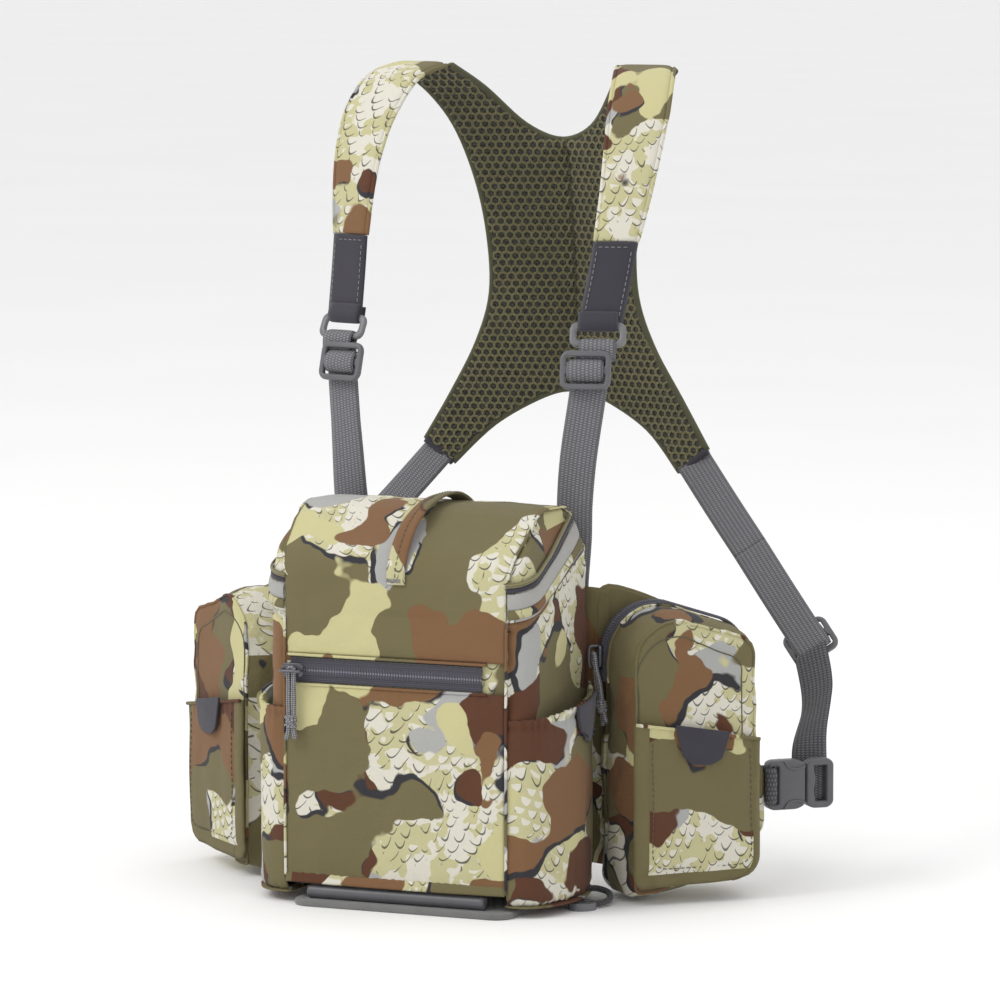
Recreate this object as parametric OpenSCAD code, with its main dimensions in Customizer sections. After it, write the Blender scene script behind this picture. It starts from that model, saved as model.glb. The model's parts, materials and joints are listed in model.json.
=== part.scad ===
// Binocular harness pack: lidded chest pouch, two side pouches on folding wings,
// and a mesh-backed harness with adjustable webbing. Origin at the centre of the base,
// +Z up, the pack's front faces -Y.

/* [Main pouch] */
// Overall width of the main pouch, side panel to side panel
body_w = 152; // [140:1:165]
// Depth of the main pouch, front panel to back panel
body_d = 92; // [84:1:100]
// Height of the lid's ridge above the ground
ridge_h = 209; // [204:1:214]
// Radius of the pouch's upright corners
corner_r = 14; // [10:1:18]
// Height of the pouch's bottom seam above the ground
floor_h = 11; // [11:0.5:13]
// Thickness of the padded fabric wall
wall = 3; // [2.5:0.1:3.5]
// Height of the fold that the lid turns about
hinge_h = 155; // [150:1:158]
// Upward slope of the lid's lower edge, front to back
lid_slope = 20; // [16:1:22]

/* [Zips] */
// Width of the front zip's window
zip_w = 108; // [100:1:109]
// Height of the front zip's centre line
zip_h = 124.5; // [123:0.5:127]
// Width of a zip tape
tape_w = 16; // [12:0.5:17]
// Width of a zip coil
coil_w = 6; // [5:0.5:7]
// Diameter of a zip pull's cord
cord_d = 2.6; // [2:0.1:3]
// Length of a zip pull from its bail to its knot
pull_len = 24; // [18:1:30]

/* [Side pockets] */
// How far a stretch pocket bulges from the pouch's side
pocket_bulge = 14; // [12:0.5:15]
// Height of a stretch pocket's mouth
pocket_h = 104; // [95:1:108]

/* [Side pouches] */
// Angle of a wing, outward and back from the pack's front
wing_angle = 41; // [38:1:44]
// Width of a side pouch
pouch_w = 78; // [70:1:84]
// Depth of a side pouch with its wing
pouch_d = 50; // [44:1:54]
// Height of a side pouch at its inner edge
pouch_h = 156; // [150:1:158]
// Radius of the corner that the pouch's zip turns round
pouch_r = 28; // [24:1:30]

/* [Webbing and hardware] */
// Width of the webbing
web_w = 20; // [18:0.5:21]
// Thickness of two layers of webbing
web_t = 2.4; // [2:0.1:3]
// Height of a slider buckle along the webbing
glide_l = 21; // [19:0.5:23]
// Width of a slider buckle
glide_w = 27; // [26:0.5:29]
// Width of a strap ring
ring_w = 30; // [27:0.5:31]
// Width of a side-release buckle
buckle_w = 27; // [26:0.5:29]

/* [Harness] */
// Height of the top of the shoulder straps
shoulder_h = 433; // [425:1:440]
// Thickness of the mesh back panel
yoke_t = 3.4; // [2.5:0.1:4]
// Width of a shoulder strap at its lower end
strap_low_w = 24; // [22:1:26]
// Width of a shoulder strap at the shoulder
strap_top_w = 34; // [30:1:36]

/* [Hidden] */
$fn = 48;

gap = 0.4;
half_w = body_w / 2;
front_y = -body_d / 2;
back_y = body_d / 2;
seam_x = half_w - corner_r;
liner_t = 1.6;
board_t = 2;
camo_color = "darkkhaki";
olive_color = "olivedrab";
charcoal_color = "dimgray";
plastic_color = "gray";
webbing_color = "slategray";

// Rounded outlines and upright slabs -------------------------------------------------

// Points of an arc, from one angle to the other
function arc(centre, radius, from, to, steps = 8) =
    [for (i = [0:steps]) let (a = from + (to - from) * i / steps)
        [centre[0] + radius * cos(a), centre[1] + radius * sin(a)]];

// A rectangle with round corners, centred
module round_rect(w, h, r) {
    square([w - 2 * r, h], center = true);
    square([w, h - 2 * r], center = true);
    for (x = [-1, 1], y = [-1, 1])
        translate([x * (w / 2 - r), y * (h / 2 - r)]) circle(r);
}

// A slab whose outline lies in the XZ plane, from y0 to y1
module slab_y(y0, y1) {
    translate([0, y1, 0]) rotate([90, 0, 0]) linear_extrude(y1 - y0) children();
}

// A slab whose outline lies in the YZ plane, from x0 to x1
module slab_x(x0, x1) {
    translate([x0, 0, 0]) rotate([90, 0, 90]) linear_extrude(x1 - x0) children();
}

// Bands: stations are [centre, half-width vector], the thickness is across both ------

function unit(v) = v / norm(v);

function tangent(stations, i) =
    let (last = len(stations) - 1)
    unit(stations[min(i + 1, last)][0] - stations[max(i - 1, 0)][0]);

function ring(station, across, half_t) =
    let (n = unit(cross(across, station[1])) * half_t)
    [station[0] - station[1] - n, station[0] + station[1] - n,
     station[0] + station[1] + n, station[0] - station[1] + n];

module band(stations, thickness) {
    last = len(stations) - 1;
    points = [for (i = [0:last])
        each ring(stations[i], tangent(stations, i), thickness / 2)];
    sides = [for (i = [0:last - 1], k = [0:3])
        let (a = 4 * i + k, b = 4 * i + (k + 1) % 4)
        each [[a, a + 4, b + 4], [a, b + 4, b]]];
    end = 4 * last;
    polyhedron(points, concat([[0, 1, 2], [0, 2, 3]], sides,
        [[end + 2, end + 1, end], [end + 3, end + 2, end]]));
}

// A smooth run of stations through the given ones
function smooth(p, i, t) =
    let (n = len(p) - 1, a = p[max(i - 1, 0)], b = p[i], c = p[i + 1], d = p[min(i + 2, n)])
    ((2 * b) + (c - a) * t + (2 * a - 5 * b + 4 * c - d) * t * t
     + (3 * b - a - 3 * c + d) * t * t * t) / 2;

function refined(p, steps = 4) =
    [for (i = [0:len(p) - 2], k = [0:steps - 1]) smooth(p, i, k / steps), p[len(p) - 1]];

// Main pouch -------------------------------------------------------------------------

module body_outline(inset) {
    round_rect(body_w - 2 * inset, body_d - 2 * inset, corner_r - inset);
}

// Everything under the lid's sloping lower edge, lowered by drop
module below_lid_edge(drop) {
    slab_x(-half_w - 20, half_w + 20)
        polygon([[-90, 0], [90, 0],
            [90, hinge_h - drop + (90 - front_y) * tan(lid_slope)],
            [front_y, hinge_h - drop], [-90, hinge_h - drop]]);
}

module bucket(inset, thickness, low, drop) {
    intersection() {
        difference() {
            translate([0, 0, low]) linear_extrude(220) body_outline(inset);
            translate([0, 0, low + thickness]) linear_extrude(220)
                body_outline(inset + thickness);
        }
        below_lid_edge(drop);
    }
}

module body_shell() { color(camo_color) bucket(0, wall, floor_h, gap); }

module body_liner() {
    color(charcoal_color)
        bucket(wall + 0.1, liner_t, floor_h + wall + board_t + 0.2, 4);
}

module base_board() {
    color("black") translate([0, 0, floor_h + wall + 0.1])
        linear_extrude(board_t) body_outline(wall + 1);
}

module back_pad() {
    color(charcoal_color)
        slab_y(back_y + 0.2, back_y + 6)
            translate([0, 90]) round_rect(100, 140, 12);
}

module front_pocket() {
    top = zip_h - tape_w / 2 + 1;
    color(camo_color) slab_y(front_y - 2.8, front_y - 0.2)
        translate([0, (floor_h + 3 + top) / 2]) square([2 * seam_x, top - floor_h - 3],
            center = true);
}

module zip_window(w, h) {
    polygon([[-w / 2, -h / 2 + 3], [-w / 2 + 3, -h / 2], [w / 2 - 3, -h / 2],
        [w / 2, -h / 2 + 3], [w / 2, h / 2 - 3], [w / 2 - 3, h / 2],
        [-w / 2 + 3, h / 2], [-w / 2, h / 2 - 3]]);
}

zip_mid_x = -5;
tape_y = front_y - 0.2;

module front_zip_tape() {
    color(charcoal_color) slab_y(tape_y - 1, tape_y)
        translate([zip_mid_x, zip_h]) zip_window(zip_w, tape_w - 2);
}

module front_zip_coil() {
    color(charcoal_color) slab_y(tape_y - 2.2, tape_y - 1)
        translate([zip_mid_x, zip_h]) square([zip_w - 4, coil_w], center = true);
}

// Slider, facing -Y with its travel along X: a plate and the post that holds the pull
slider_l = 10;
slider_w = 7.4;
slider_t = 1.8;
post_d = 1.6;
pull_out = slider_t + 0.5 + cord_d / 2;

module slider_body() {
    slab_y(-slider_t, 0) square([slider_l, slider_w], center = true);
    translate([0, -slider_t + 0.5, 0]) rotate([90, 0, 0])
        cylinder(h = cord_d + 1.2, d = post_d);
}

// Zip pull whose eye is at the origin: doubled cord, knot and two tails
eye_d = post_d + 0.8;
knot_d = 5.8;
tail_len = 8;

module pull_body() {
    slab_y(-cord_d / 2, cord_d / 2) difference() {
        union() {
            circle(d = eye_d + 2 * 1.7);
            translate([0, -pull_len / 2]) square([2 * cord_d, pull_len], center = true);
            translate([0, -pull_len - knot_d / 2 - tail_len / 2])
                square([2 * cord_d, tail_len + 2], center = true);
        }
        circle(d = eye_d);
    }
    translate([0, 0, -pull_len - knot_d / 2]) cylinder(h = knot_d, d = knot_d);
}

front_slider_x = zip_mid_x - zip_w / 2 + 2.5;
slider_y = tape_y - 2.5;

module front_zip_slider() {
    color(plastic_color) translate([front_slider_x, slider_y, zip_h]) slider_body();
}

module front_zip_pull() {
    color(webbing_color) translate([front_slider_x, slider_y - pull_out, zip_h])
        pull_body();
}

// Stretch pocket on the pouch's right side: it starts at the front seam, wraps the
// upright corner and ends near the back, and is open at the top
pocket_low = 4.6;
pocket_rise = 11;
pocket_route = refined([[seam_x + 0.5, front_y - 0.5], [72, front_y + 0.5],
    [half_w + 5, front_y + 8], [half_w + 0.8 * pocket_bulge, front_y + 22],
    [half_w + pocket_bulge, -7], [half_w + 0.86 * pocket_bulge, 9],
    [half_w + 0.6 * pocket_bulge, 23], [half_w + 1, 37]], 3);

module pocket_plan(inset) {
    difference() {
        translate([-inset, 0]) polygon(concat(pocket_route, [[50, 37], [50, front_y + 6]]));
        body_outline(-0.3);
        translate([40, 36.5 - inset]) square([80, 40]);
        if (inset > 0) translate([40, -100]) square([80, 100 + front_y + 6]);
    }
}

module below_pocket_mouth() {
    slab_x(half_w - 30, half_w + 30) polygon([[-60, 0], [60, 0],
        [60, pocket_h + pocket_rise * (60 - front_y) / body_d],
        [-60, pocket_h + pocket_rise * (-60 - front_y) / body_d]]);
}

module right_side_pocket() {
    color(camo_color) intersection() {
        difference() {
            translate([0, 0, pocket_low]) linear_extrude(pocket_h + 20) pocket_plan(0);
            translate([0, 0, pocket_low + 2]) linear_extrude(pocket_h + 20) pocket_plan(1.8);
        }
        below_pocket_mouth();
    }
}

module left_side_pocket() { mirror([1, 0, 0]) right_side_pocket(); }

// Tab that hangs over the outside of a stretch pocket's mouth
module pocket_tabs() {
    color(charcoal_color) for (side = [0, 1]) mirror([side, 0, 0]) intersection() {
        translate([0, 0, pocket_h - 30]) linear_extrude(40) difference() {
            translate([1.7, 0]) polygon(concat(pocket_route, [[50, 37]]));
            translate([0.3, 0]) polygon(concat(pocket_route, [[50, 37]]));
        }
        slab_x(half_w, half_w + 30) polygon([[-16, 107], [17, 111], [15, 95],
            [8, 89], [-7, 88], [-13, 92]]);
    }
}

module base_strap() {
    color(webbing_color) translate([4, -3, 0]) linear_extrude(3.2)
        round_rect(124, 102, 10);
}

tube_d = 7.4;

module base_tube() {
    color(plastic_color) for (y = [front_y + 1.5, back_y - 6])
        translate([-50, y, 3.2 + tube_d / 2]) rotate([0, 90, 0]) cylinder(h = 100, d = tube_d);
}

// Shock-cord loops that stick out of the base's corners
module base_cords() {
    color(plastic_color) for (side = [0, 1]) mirror([side, 0, 0])
        translate([59, front_y + 12, 7]) rotate([0, 12, 0]) intersection() {
            rotate_extrude() translate([8, 0]) circle(d = 3, $fn = 16);
            translate([2, -20, -5]) cube([20, 40, 10]);
        }
}

disc_d = 15;

module accessory_disc() {
    color("dimgray") translate([89, -6, 0]) {
        difference() {
            cylinder(h = 4, d = disc_d);
            translate([0, 0, -1]) cylinder(h = 6, d = 6);
        }
    }
}

magnet_d = 12;
magnet_t = 2;
magnet_x = 34;
magnet_y = back_y - wall - liner_t - magnet_t / 2 - 0.3;
tongue_y = magnet_y - 1.5 * magnet_t - 0.8;

module magnet_pair(y, z) {
    for (x = [-1, 1]) translate([x * magnet_x, y, z]) rotate([90, 0, 0])
        cylinder(h = magnet_t, d = magnet_d, center = true);
}

module body_magnets() {
    color("silver") magnet_pair(magnet_y, 176);
}

// Lid --------------------------------------------------------------------------------

// Side outline of the lid's top, in YZ, drawn inset by t
module lid_profile(t) {
    polygon(concat(
        [[front_y + t, 100], [front_y + t, 174]],
        arc([front_y + 20, 174], 20 - t, 180, 118, 6),
        arc([0, ridge_h - 40], 40 - t, 112, 84, 4),
        arc([18, ridge_h - 28.5], 28 - t, 78, 0, 7),
        [[back_y - t, 100]]));
}

// Front outline of the lid's top, in XZ: its sides lean in above the brim
module lid_front_outline(t) {
    polygon([[-half_w + t, 100], [-half_w + t, 168], [-half_w + 3 + t, 186],
        [-half_w + 9 + t, 202], [-half_w + 14 + t, 230], [half_w - 14 - t, 230],
        [half_w - 9 - t, 202], [half_w - 3 - t, 186], [half_w - t, 168], [half_w - t, 100]]);
}

module lid_block(t) {
    intersection() {
        linear_extrude(230) body_outline(t);
        slab_x(-half_w, half_w) lid_profile(t);
        slab_y(-60, 60) lid_front_outline(t);
    }
}

module lid_shell() {
    color(camo_color) difference() {
        lid_block(0);
        lid_block(wall);
        below_lid_edge(0);
    }
}

// Stiffener with the tongue that tucks in behind the pouch's rear edge
module lid_board() {
    color("black") {
        difference() {
            lid_block(wall + 0.3);
            lid_block(wall + 1.8);
            below_lid_edge(-8);
        }
        slab_y(tongue_y - 1.4, tongue_y) translate([0, 184]) square([92, 25], center = true);
    }
}

loop_w = 10.5;

loop_route = refined([[1, front_y - 1.4, 172], [1.2, front_y - 1.4, 180], [2.2, -42, 193],
    [3.6, -32, 204], [5.4, -16, 211.5], [7, 2, 214], [7, 20, 212], [7, 36, 205],
    [7, 43, 197.5], [7, 45.9, 190.5]]);

module lid_pull_loop() {
    color(camo_color) band([for (p = loop_route) [p, [loop_w / 2, 0, 0]]], 2);
}

module lid_magnets() {
    color("silver") magnet_pair(magnet_y - magnet_t - 0.6, 178);
}

// Wings and side pouches: built flat, then turned outward about the wing's fold -------

fold_x = 74;
fold_y = 45;
pouch_x0 = 2;
pouch_x1 = pouch_x0 + pouch_w;
pouch_front_y = -2 - pouch_d;
zip_y = -14;
zip_rise = 1.8;
pull_lean = 16;
arc_x = pouch_x0 + pouch_r;
arc_z = pouch_h - pouch_r;

module on_wing() { translate([fold_x, fold_y, 0]) rotate([0, 0, wing_angle]) children(); }

// Outline of a side pouch seen from the front, inset by t
module pouch_outline(t) {
    polygon(concat(
        arc([arc_x, arc_z], pouch_r - t, 180, 80, 10),
        arc([pouch_x1 - 18, pouch_h - 28], 18 - t, 74, 0, 8),
        arc([pouch_x1 - 16, 26], 16 - t, 0, -84, 6),
        arc([pouch_x0 + 9, 9], 9 - t, -90, -180, 6)));
}

module right_wing() {
    color(charcoal_color) on_wing() slab_y(-1.8, 2.4) polygon([
        [3, 12], [60, 12], [84, 22], [98, 26], [98, 62], [84, 74], [76, 120],
        [60, 143], [30, 158], [3, 166]]);
}

module right_pouch_back() {
    color(camo_color) on_wing() difference() {
        slab_y(zip_y + 0.2, -2) pouch_outline(0);
        slab_y(zip_y - 1, -3.6) pouch_outline(2);
    }
}

module right_pouch_front() {
    color(camo_color) on_wing() difference() {
        slab_y(pouch_front_y, zip_y - 0.2) pouch_outline(0);
        slab_y(pouch_front_y + 2, zip_y + 1) pouch_outline(2);
    }
}

// Zip tape and coil: a low rib round the pouch's top, over the joint of its two halves
module rib(low, high, half) {
    difference() {
        slab_y(zip_y - half, zip_y + half) pouch_outline(-high);
        slab_y(zip_y - 20, zip_y + 20) pouch_outline(-low);
        translate([0, -80, -10]) cube([200, 160, arc_z - 4]);
    }
}

module right_pouch_zip() {
    color(charcoal_color) on_wing() {
        rib(0.1, 0.7, tape_w / 2 - 1);
        rib(0.6, 1.5, coil_w / 2);
    }
}

module right_pouch_slider() {
    color(plastic_color) on_wing() translate([pouch_x0 - zip_rise, zip_y, arc_z])
        rotate([90, 0, 0]) rotate([0, 0, -90]) slider_body();
}

module right_pouch_pull() {
    color(webbing_color) on_wing()
        translate([pouch_x0 - zip_rise - pull_out, zip_y, arc_z])
            rotate([-pull_lean, -pull_lean / 4, 0]) rotate([0, 0, -90]) pull_body();
}

slip_y = pouch_front_y - 0.3;

module right_slip_pocket() {
    color(olive_color) on_wing() slab_y(slip_y - 3, slip_y)
        polygon(concat([[pouch_x0 + 3, 97], [pouch_x0 + 3, 16]],
            arc([pouch_x0 + 11, 16], 8, 180, 264, 5),
            arc([pouch_x1 - 16, 24], 12, -84, 0, 5), [[pouch_x1 - 4, 86]]));
}

module right_slip_tab() {
    color(charcoal_color) on_wing() slab_y(slip_y - 5, slip_y - 3.3)
        polygon([[28, 96], [56, 91], [52, 74], [46, 72], [36, 72], [31, 76]]);
}

// Side-release buckle, along the wing -------------------------------------------------

buckle_z = 51;
socket_x0 = 101;
socket_x1 = 121;
buckle_t = 8;

module right_socket_strap() {
    color(webbing_color) on_wing() slab_y(2.8, 5)
        translate([94, buckle_z]) square([13.6, web_w], center = true);
}

module right_buckle_socket() {
    color(plastic_color) on_wing() difference() {
        slab_y(-2, -2 + buckle_t) translate([(socket_x0 + socket_x1) / 2 + 1, buckle_z])
            round_rect(socket_x1 - socket_x0 + 2, buckle_w, 4);
        slab_y(-0.4, buckle_t - 3.6) translate([socket_x1 + 1, buckle_z])
            square([26, buckle_w - 8], center = true);
        slab_y(-4, 2 * buckle_t) translate([socket_x0 + 4.3, buckle_z])
            square([3.4, web_w + 1], center = true);
    }
}

module right_buckle_plug() {
    color(plastic_color) on_wing() {
        difference() {
            slab_y(-2, -2 + buckle_t) translate([131, buckle_z])
                round_rect(16, buckle_w, 4);
            slab_y(-4, 2 * buckle_t) translate([131.5, buckle_z])
                square([7, web_w + 1], center = true);
        }
        slab_y(0.2, 3.8) translate([117, buckle_z]) {
            square([12.4, 3], center = true);
            for (z = [-1, 1]) translate([1.2, z * 7]) square([10, 3], center = true);
        }
        slab_y(0.2, 3.8) translate([122.5, buckle_z]) square([2, buckle_w - 9], center = true);
    }
}

// Webbing ----------------------------------------------------------------------------

front_route = refined([[61.5, 47.5, 128], [61.5, 47.6, 160], [63.4, 47.8, 188], [64.6, 45.4, 208],
    [66.5, 43.6, 232], [70, 46.6, 262], [72.6, 52, 286]]);

// The webbing turns outward as it climbs from the pouch to its ring
function web_turn(z) = 14 * min(1, max(0, (z - 196) / 50));

module right_front_webbing() {
    color(webbing_color) band([for (p = front_route)
        [p, [cos(web_turn(p[2])), sin(web_turn(p[2])), 0] * web_w / 2]], web_t);
}

arm_end = [76, 197, 215];
side_glide_at = [154, 168, 122.5];
rear_across = unit([0.8, 0.25, 0.56]);

module right_rear_webbing() {
    a = arm_end;
    b = side_glide_at;
    color(webbing_color) band([for (i = [0:6]) [a + (b - a) * i / 6, rear_across * web_w / 2]],
        1.5);
}

wing_x = [cos(wing_angle), sin(wing_angle), 0];
wing_y = [-sin(wing_angle), cos(wing_angle), 0];
wing_origin = [fold_x, fold_y, 0];
strap_foot = wing_origin + wing_x * 130 + wing_y * 9.5 + [0, 0, buckle_z - 6];
strap_route = refined([side_glide_at + [1.6, -2.6, -4.6], side_glide_at + [8, -9, -28],
    strap_foot + [-3, 6, 26], strap_foot]);

module right_side_strap() {
    last = len(strap_route) - 1;
    color(webbing_color) band([for (i = [0:last])
        [strap_route[i], unit(rear_across * (1 - i / last) + wing_x * i / last) * web_w / 2]],
        web_t);
}

// Slider buckle with a centre bar, flat in XZ at the origin
module glide_frame() {
    slab_y(-1.7, 1.7) difference() {
        round_rect(glide_w, glide_l, 5);
        for (z = [-1, 1]) translate([0, z * 4.6]) square([web_w + 1, 5.2], center = true);
    }
}

module right_front_glide() {
    color(plastic_color) translate([70.2, 46.2, 278]) rotate([-14, 0, 14]) glide_frame();
}

module right_side_glide() {
    along = unit(arm_end - side_glide_at);
    out = unit(cross(rear_across, along));
    color(plastic_color) translate(side_glide_at - out * 3.4)
        multmatrix([[rear_across[0], -out[0], along[0], 0],
            [rear_across[1], -out[1], along[1], 0],
            [rear_across[2], -out[2], along[2], 0], [0, 0, 0, 1]]) glide_frame();
}

// Harness ----------------------------------------------------------------------------

module right_strap_ring() {
    color(plastic_color) translate([73.4, 56.2, 296]) rotate([-24, 0, 16]) slab_y(-1.5, 1.5)
        difference() {
            round_rect(ring_w, 14, 4.5);
            square([ring_w - 7, 7], center = true);
        }
}

tab_route = refined([[73.6, 58.6, 300], [74.4, 63, 312], [75.6, 69, 328], [76.6, 74, 344]]);
tab_across = unit([cos(17), sin(17), 0]);

module right_strap_tab() {
    color(charcoal_color) band([for (p = tab_route) [p, tab_across * strap_low_w / 2]], 3.2);
}

strap_line = refined([[76.7, 74.5, 344.5], [78.5, 82, 366], [79, 91, 388], [77.5, 104, 409],
    [73, 124, shoulder_h - 6], [66, 146, shoulder_h]]);

module right_shoulder_strap() {
    last = len(strap_line) - 1;
    color(camo_color) band([for (i = [0:last])
        let (turn = 17 - 12 * i / last)
        [strap_line[i], [cos(turn), sin(turn), 0]
            * (strap_low_w + (strap_top_w - strap_low_w) * min(1, 1.6 * i / last)) / 2]], 5);
}

// Right half of the mesh panel: an outer and an inner edge, from the arm to the shoulder
yoke_outer = refined([[84, 197, 221], [68, 198, 248], [52, 196, 277], [43, 194, 305],
    [43, 190, 338], [48, 184, 370], [57, 174, 400], [70, 162, 421], [82.5, 148, 432]]);
yoke_inner = refined([[68, 197.5, 208.5], [46, 206, 231], [18, 210, 247], [-0.1, 211, 251],
    [-0.1, 208, 320], [-0.1, 196, 390], [20, 187, 399], [38, 170, 420], [49, 150, 433]]);

module yoke() {
    stations = [for (i = [0:len(yoke_outer) - 1])
        [(yoke_outer[i] + yoke_inner[i]) / 2, (yoke_outer[i] - yoke_inner[i]) / 2]];
    color(olive_color) for (side = [0, 1]) mirror([side, 0, 0]) band(stations, yoke_t);
}

// Left-hand pieces mirror the right-hand ones
module left_front_webbing() { mirror([1, 0, 0]) right_front_webbing(); }
module left_wing() { mirror([1, 0, 0]) right_wing(); }
module left_pouch_back() { mirror([1, 0, 0]) right_pouch_back(); }
module left_pouch_front() { mirror([1, 0, 0]) right_pouch_front(); }
module left_slip_pocket() { mirror([1, 0, 0]) right_slip_pocket(); }
module left_slip_tab() { mirror([1, 0, 0]) right_slip_tab(); }
module left_pouch_zip() { mirror([1, 0, 0]) right_pouch_zip(); }
module left_buckle_socket() { mirror([1, 0, 0]) right_buckle_socket(); }
module left_socket_strap() { mirror([1, 0, 0]) right_socket_strap(); }
module left_pouch_slider() { mirror([1, 0, 0]) right_pouch_slider(); }
module left_pouch_pull() { mirror([1, 0, 0]) right_pouch_pull(); }
module left_shoulder_strap() { mirror([1, 0, 0]) right_shoulder_strap(); }
module left_strap_tab() { mirror([1, 0, 0]) right_strap_tab(); }
module left_strap_ring() { mirror([1, 0, 0]) right_strap_ring(); }
module left_rear_webbing() { mirror([1, 0, 0]) right_rear_webbing(); }
module left_front_glide() { mirror([1, 0, 0]) right_front_glide(); }
module left_side_glide() { mirror([1, 0, 0]) right_side_glide(); }
module left_side_strap() { mirror([1, 0, 0]) right_side_strap(); }
module left_buckle_plug() { mirror([1, 0, 0]) right_buckle_plug(); }

body_shell();
body_liner();
base_board();
back_pad();
front_pocket();
front_zip_tape();
front_zip_coil();
left_side_pocket();
right_side_pocket();
pocket_tabs();
base_strap();
base_tube();
base_cords();
accessory_disc();
body_magnets();
left_front_webbing();
right_front_webbing();
lid_shell();
lid_board();
lid_pull_loop();
lid_magnets();
front_zip_slider();
front_zip_pull();
left_wing();
right_wing();
left_pouch_back();
right_pouch_back();
left_pouch_front();
right_pouch_front();
left_slip_pocket();
right_slip_pocket();
left_slip_tab();
right_slip_tab();
left_pouch_zip();
right_pouch_zip();
left_buckle_socket();
right_buckle_socket();
left_socket_strap();
right_socket_strap();
left_pouch_slider();
right_pouch_slider();
left_pouch_pull();
right_pouch_pull();
yoke();
left_shoulder_strap();
right_shoulder_strap();
left_strap_tab();
right_strap_tab();
left_strap_ring();
right_strap_ring();
left_rear_webbing();
right_rear_webbing();
left_front_glide();
right_front_glide();
left_side_glide();
right_side_glide();
left_side_strap();
right_side_strap();
left_buckle_plug();
right_buckle_plug();
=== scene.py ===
import json
import math
import bmesh
import bpy
import numpy as np
from mathutils import Matrix, Vector, noise
from mathutils.bvhtree import BVHTree

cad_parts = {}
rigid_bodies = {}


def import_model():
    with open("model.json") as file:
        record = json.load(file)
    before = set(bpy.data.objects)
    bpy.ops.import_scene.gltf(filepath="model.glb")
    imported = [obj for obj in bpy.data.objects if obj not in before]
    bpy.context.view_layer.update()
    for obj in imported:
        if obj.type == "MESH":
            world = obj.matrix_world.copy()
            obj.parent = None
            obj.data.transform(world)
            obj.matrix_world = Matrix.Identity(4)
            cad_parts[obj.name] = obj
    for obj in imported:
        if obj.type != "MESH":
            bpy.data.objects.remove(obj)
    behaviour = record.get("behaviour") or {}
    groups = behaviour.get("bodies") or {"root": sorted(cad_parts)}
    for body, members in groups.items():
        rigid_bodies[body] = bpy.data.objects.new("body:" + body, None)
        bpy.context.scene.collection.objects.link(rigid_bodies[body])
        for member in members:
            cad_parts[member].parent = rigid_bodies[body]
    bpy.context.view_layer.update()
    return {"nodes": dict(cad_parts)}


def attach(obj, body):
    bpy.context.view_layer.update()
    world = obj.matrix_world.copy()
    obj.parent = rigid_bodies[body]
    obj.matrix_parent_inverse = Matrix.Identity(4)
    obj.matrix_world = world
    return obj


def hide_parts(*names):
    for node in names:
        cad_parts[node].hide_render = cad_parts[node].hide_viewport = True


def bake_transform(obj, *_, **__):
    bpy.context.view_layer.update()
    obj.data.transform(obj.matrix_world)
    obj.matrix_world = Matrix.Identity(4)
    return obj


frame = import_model()
MM = 0.001
SIDES = (("left", True), ("right", False))
MIRROR = {True: np.array([-1, 1, 1]), False: np.array([1, 1, 1])}
SLOPE = math.tan(math.radians(20))          # of the lid's lower edge, rising to the back
WING_AT, WING_TURN = (74, 45), math.radians(41)
WING_COS, WING_SIN = math.cos(WING_TURN), math.sin(WING_TURN)
POUCH_W, POUCH_D, POUCH_R = 152, 92, 14     # the main pouch seen from above
FRONT_Y = -POUCH_D / 2
SEAM_X = 62.5                               # the seams at both sides of the front panel
scene = bpy.context.scene

# ---------------------------------------------------------------- camera, light


def aim(obj, target):
    obj.rotation_mode = "QUATERNION"
    way = Vector(target) - obj.location
    obj.rotation_quaternion = way.to_track_quat("-Z", "Y")


scene.view_settings.view_transform = "Standard"
camera = bpy.data.objects.new("camera", bpy.data.cameras.new("camera"))
scene.collection.objects.link(camera)
camera.location = (1.1490, -2.7443, 0.5582)
aim(camera, (0.03275, 0.01856, 0.2105))
camera.data.lens, camera.data.sensor_width, camera.data.clip_end = 205, 36, 300
scene.camera = camera
for name, place, size, power, colour in (
        ("key", (-1.5, -1.7, 2.3), 1.2, 34, (1.0, 0.99, 0.97)),
        ("fill", (2.4, -1.8, 1.2), 1.8, 3, (0.97, 0.98, 1.0)),
        ("top", (0.2, 0.6, 2.6), 1.5, 7, (1, 1, 1))):
    data = bpy.data.lights.new(name, "AREA")
    data.shape, data.size, data.energy, data.color = "SQUARE", size, power, colour
    lamp = bpy.data.objects.new(name, data)
    scene.collection.objects.link(lamp)
    lamp.location = place
    aim(lamp, (0, 0, 0.2))
scene.world = bpy.data.worlds.new("studio")
scene.world.use_nodes = True
sky = scene.world.node_tree.nodes["Background"].inputs
sky["Color"].default_value, sky["Strength"].default_value = (1, 1, 1, 1), 0.92

# ---------------------------------------------------------------- materials


def linear(text):
    """A colour's hex digits as linear red, green, blue and alpha."""
    channels = [int(text[i:i + 2], 16) / 255 for i in (0, 2, 4)]
    return tuple(c / 12.92 if c < 0.04045 else ((c + 0.055) / 1.055) ** 2.4
                 for c in channels) + (1.0,)


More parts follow.
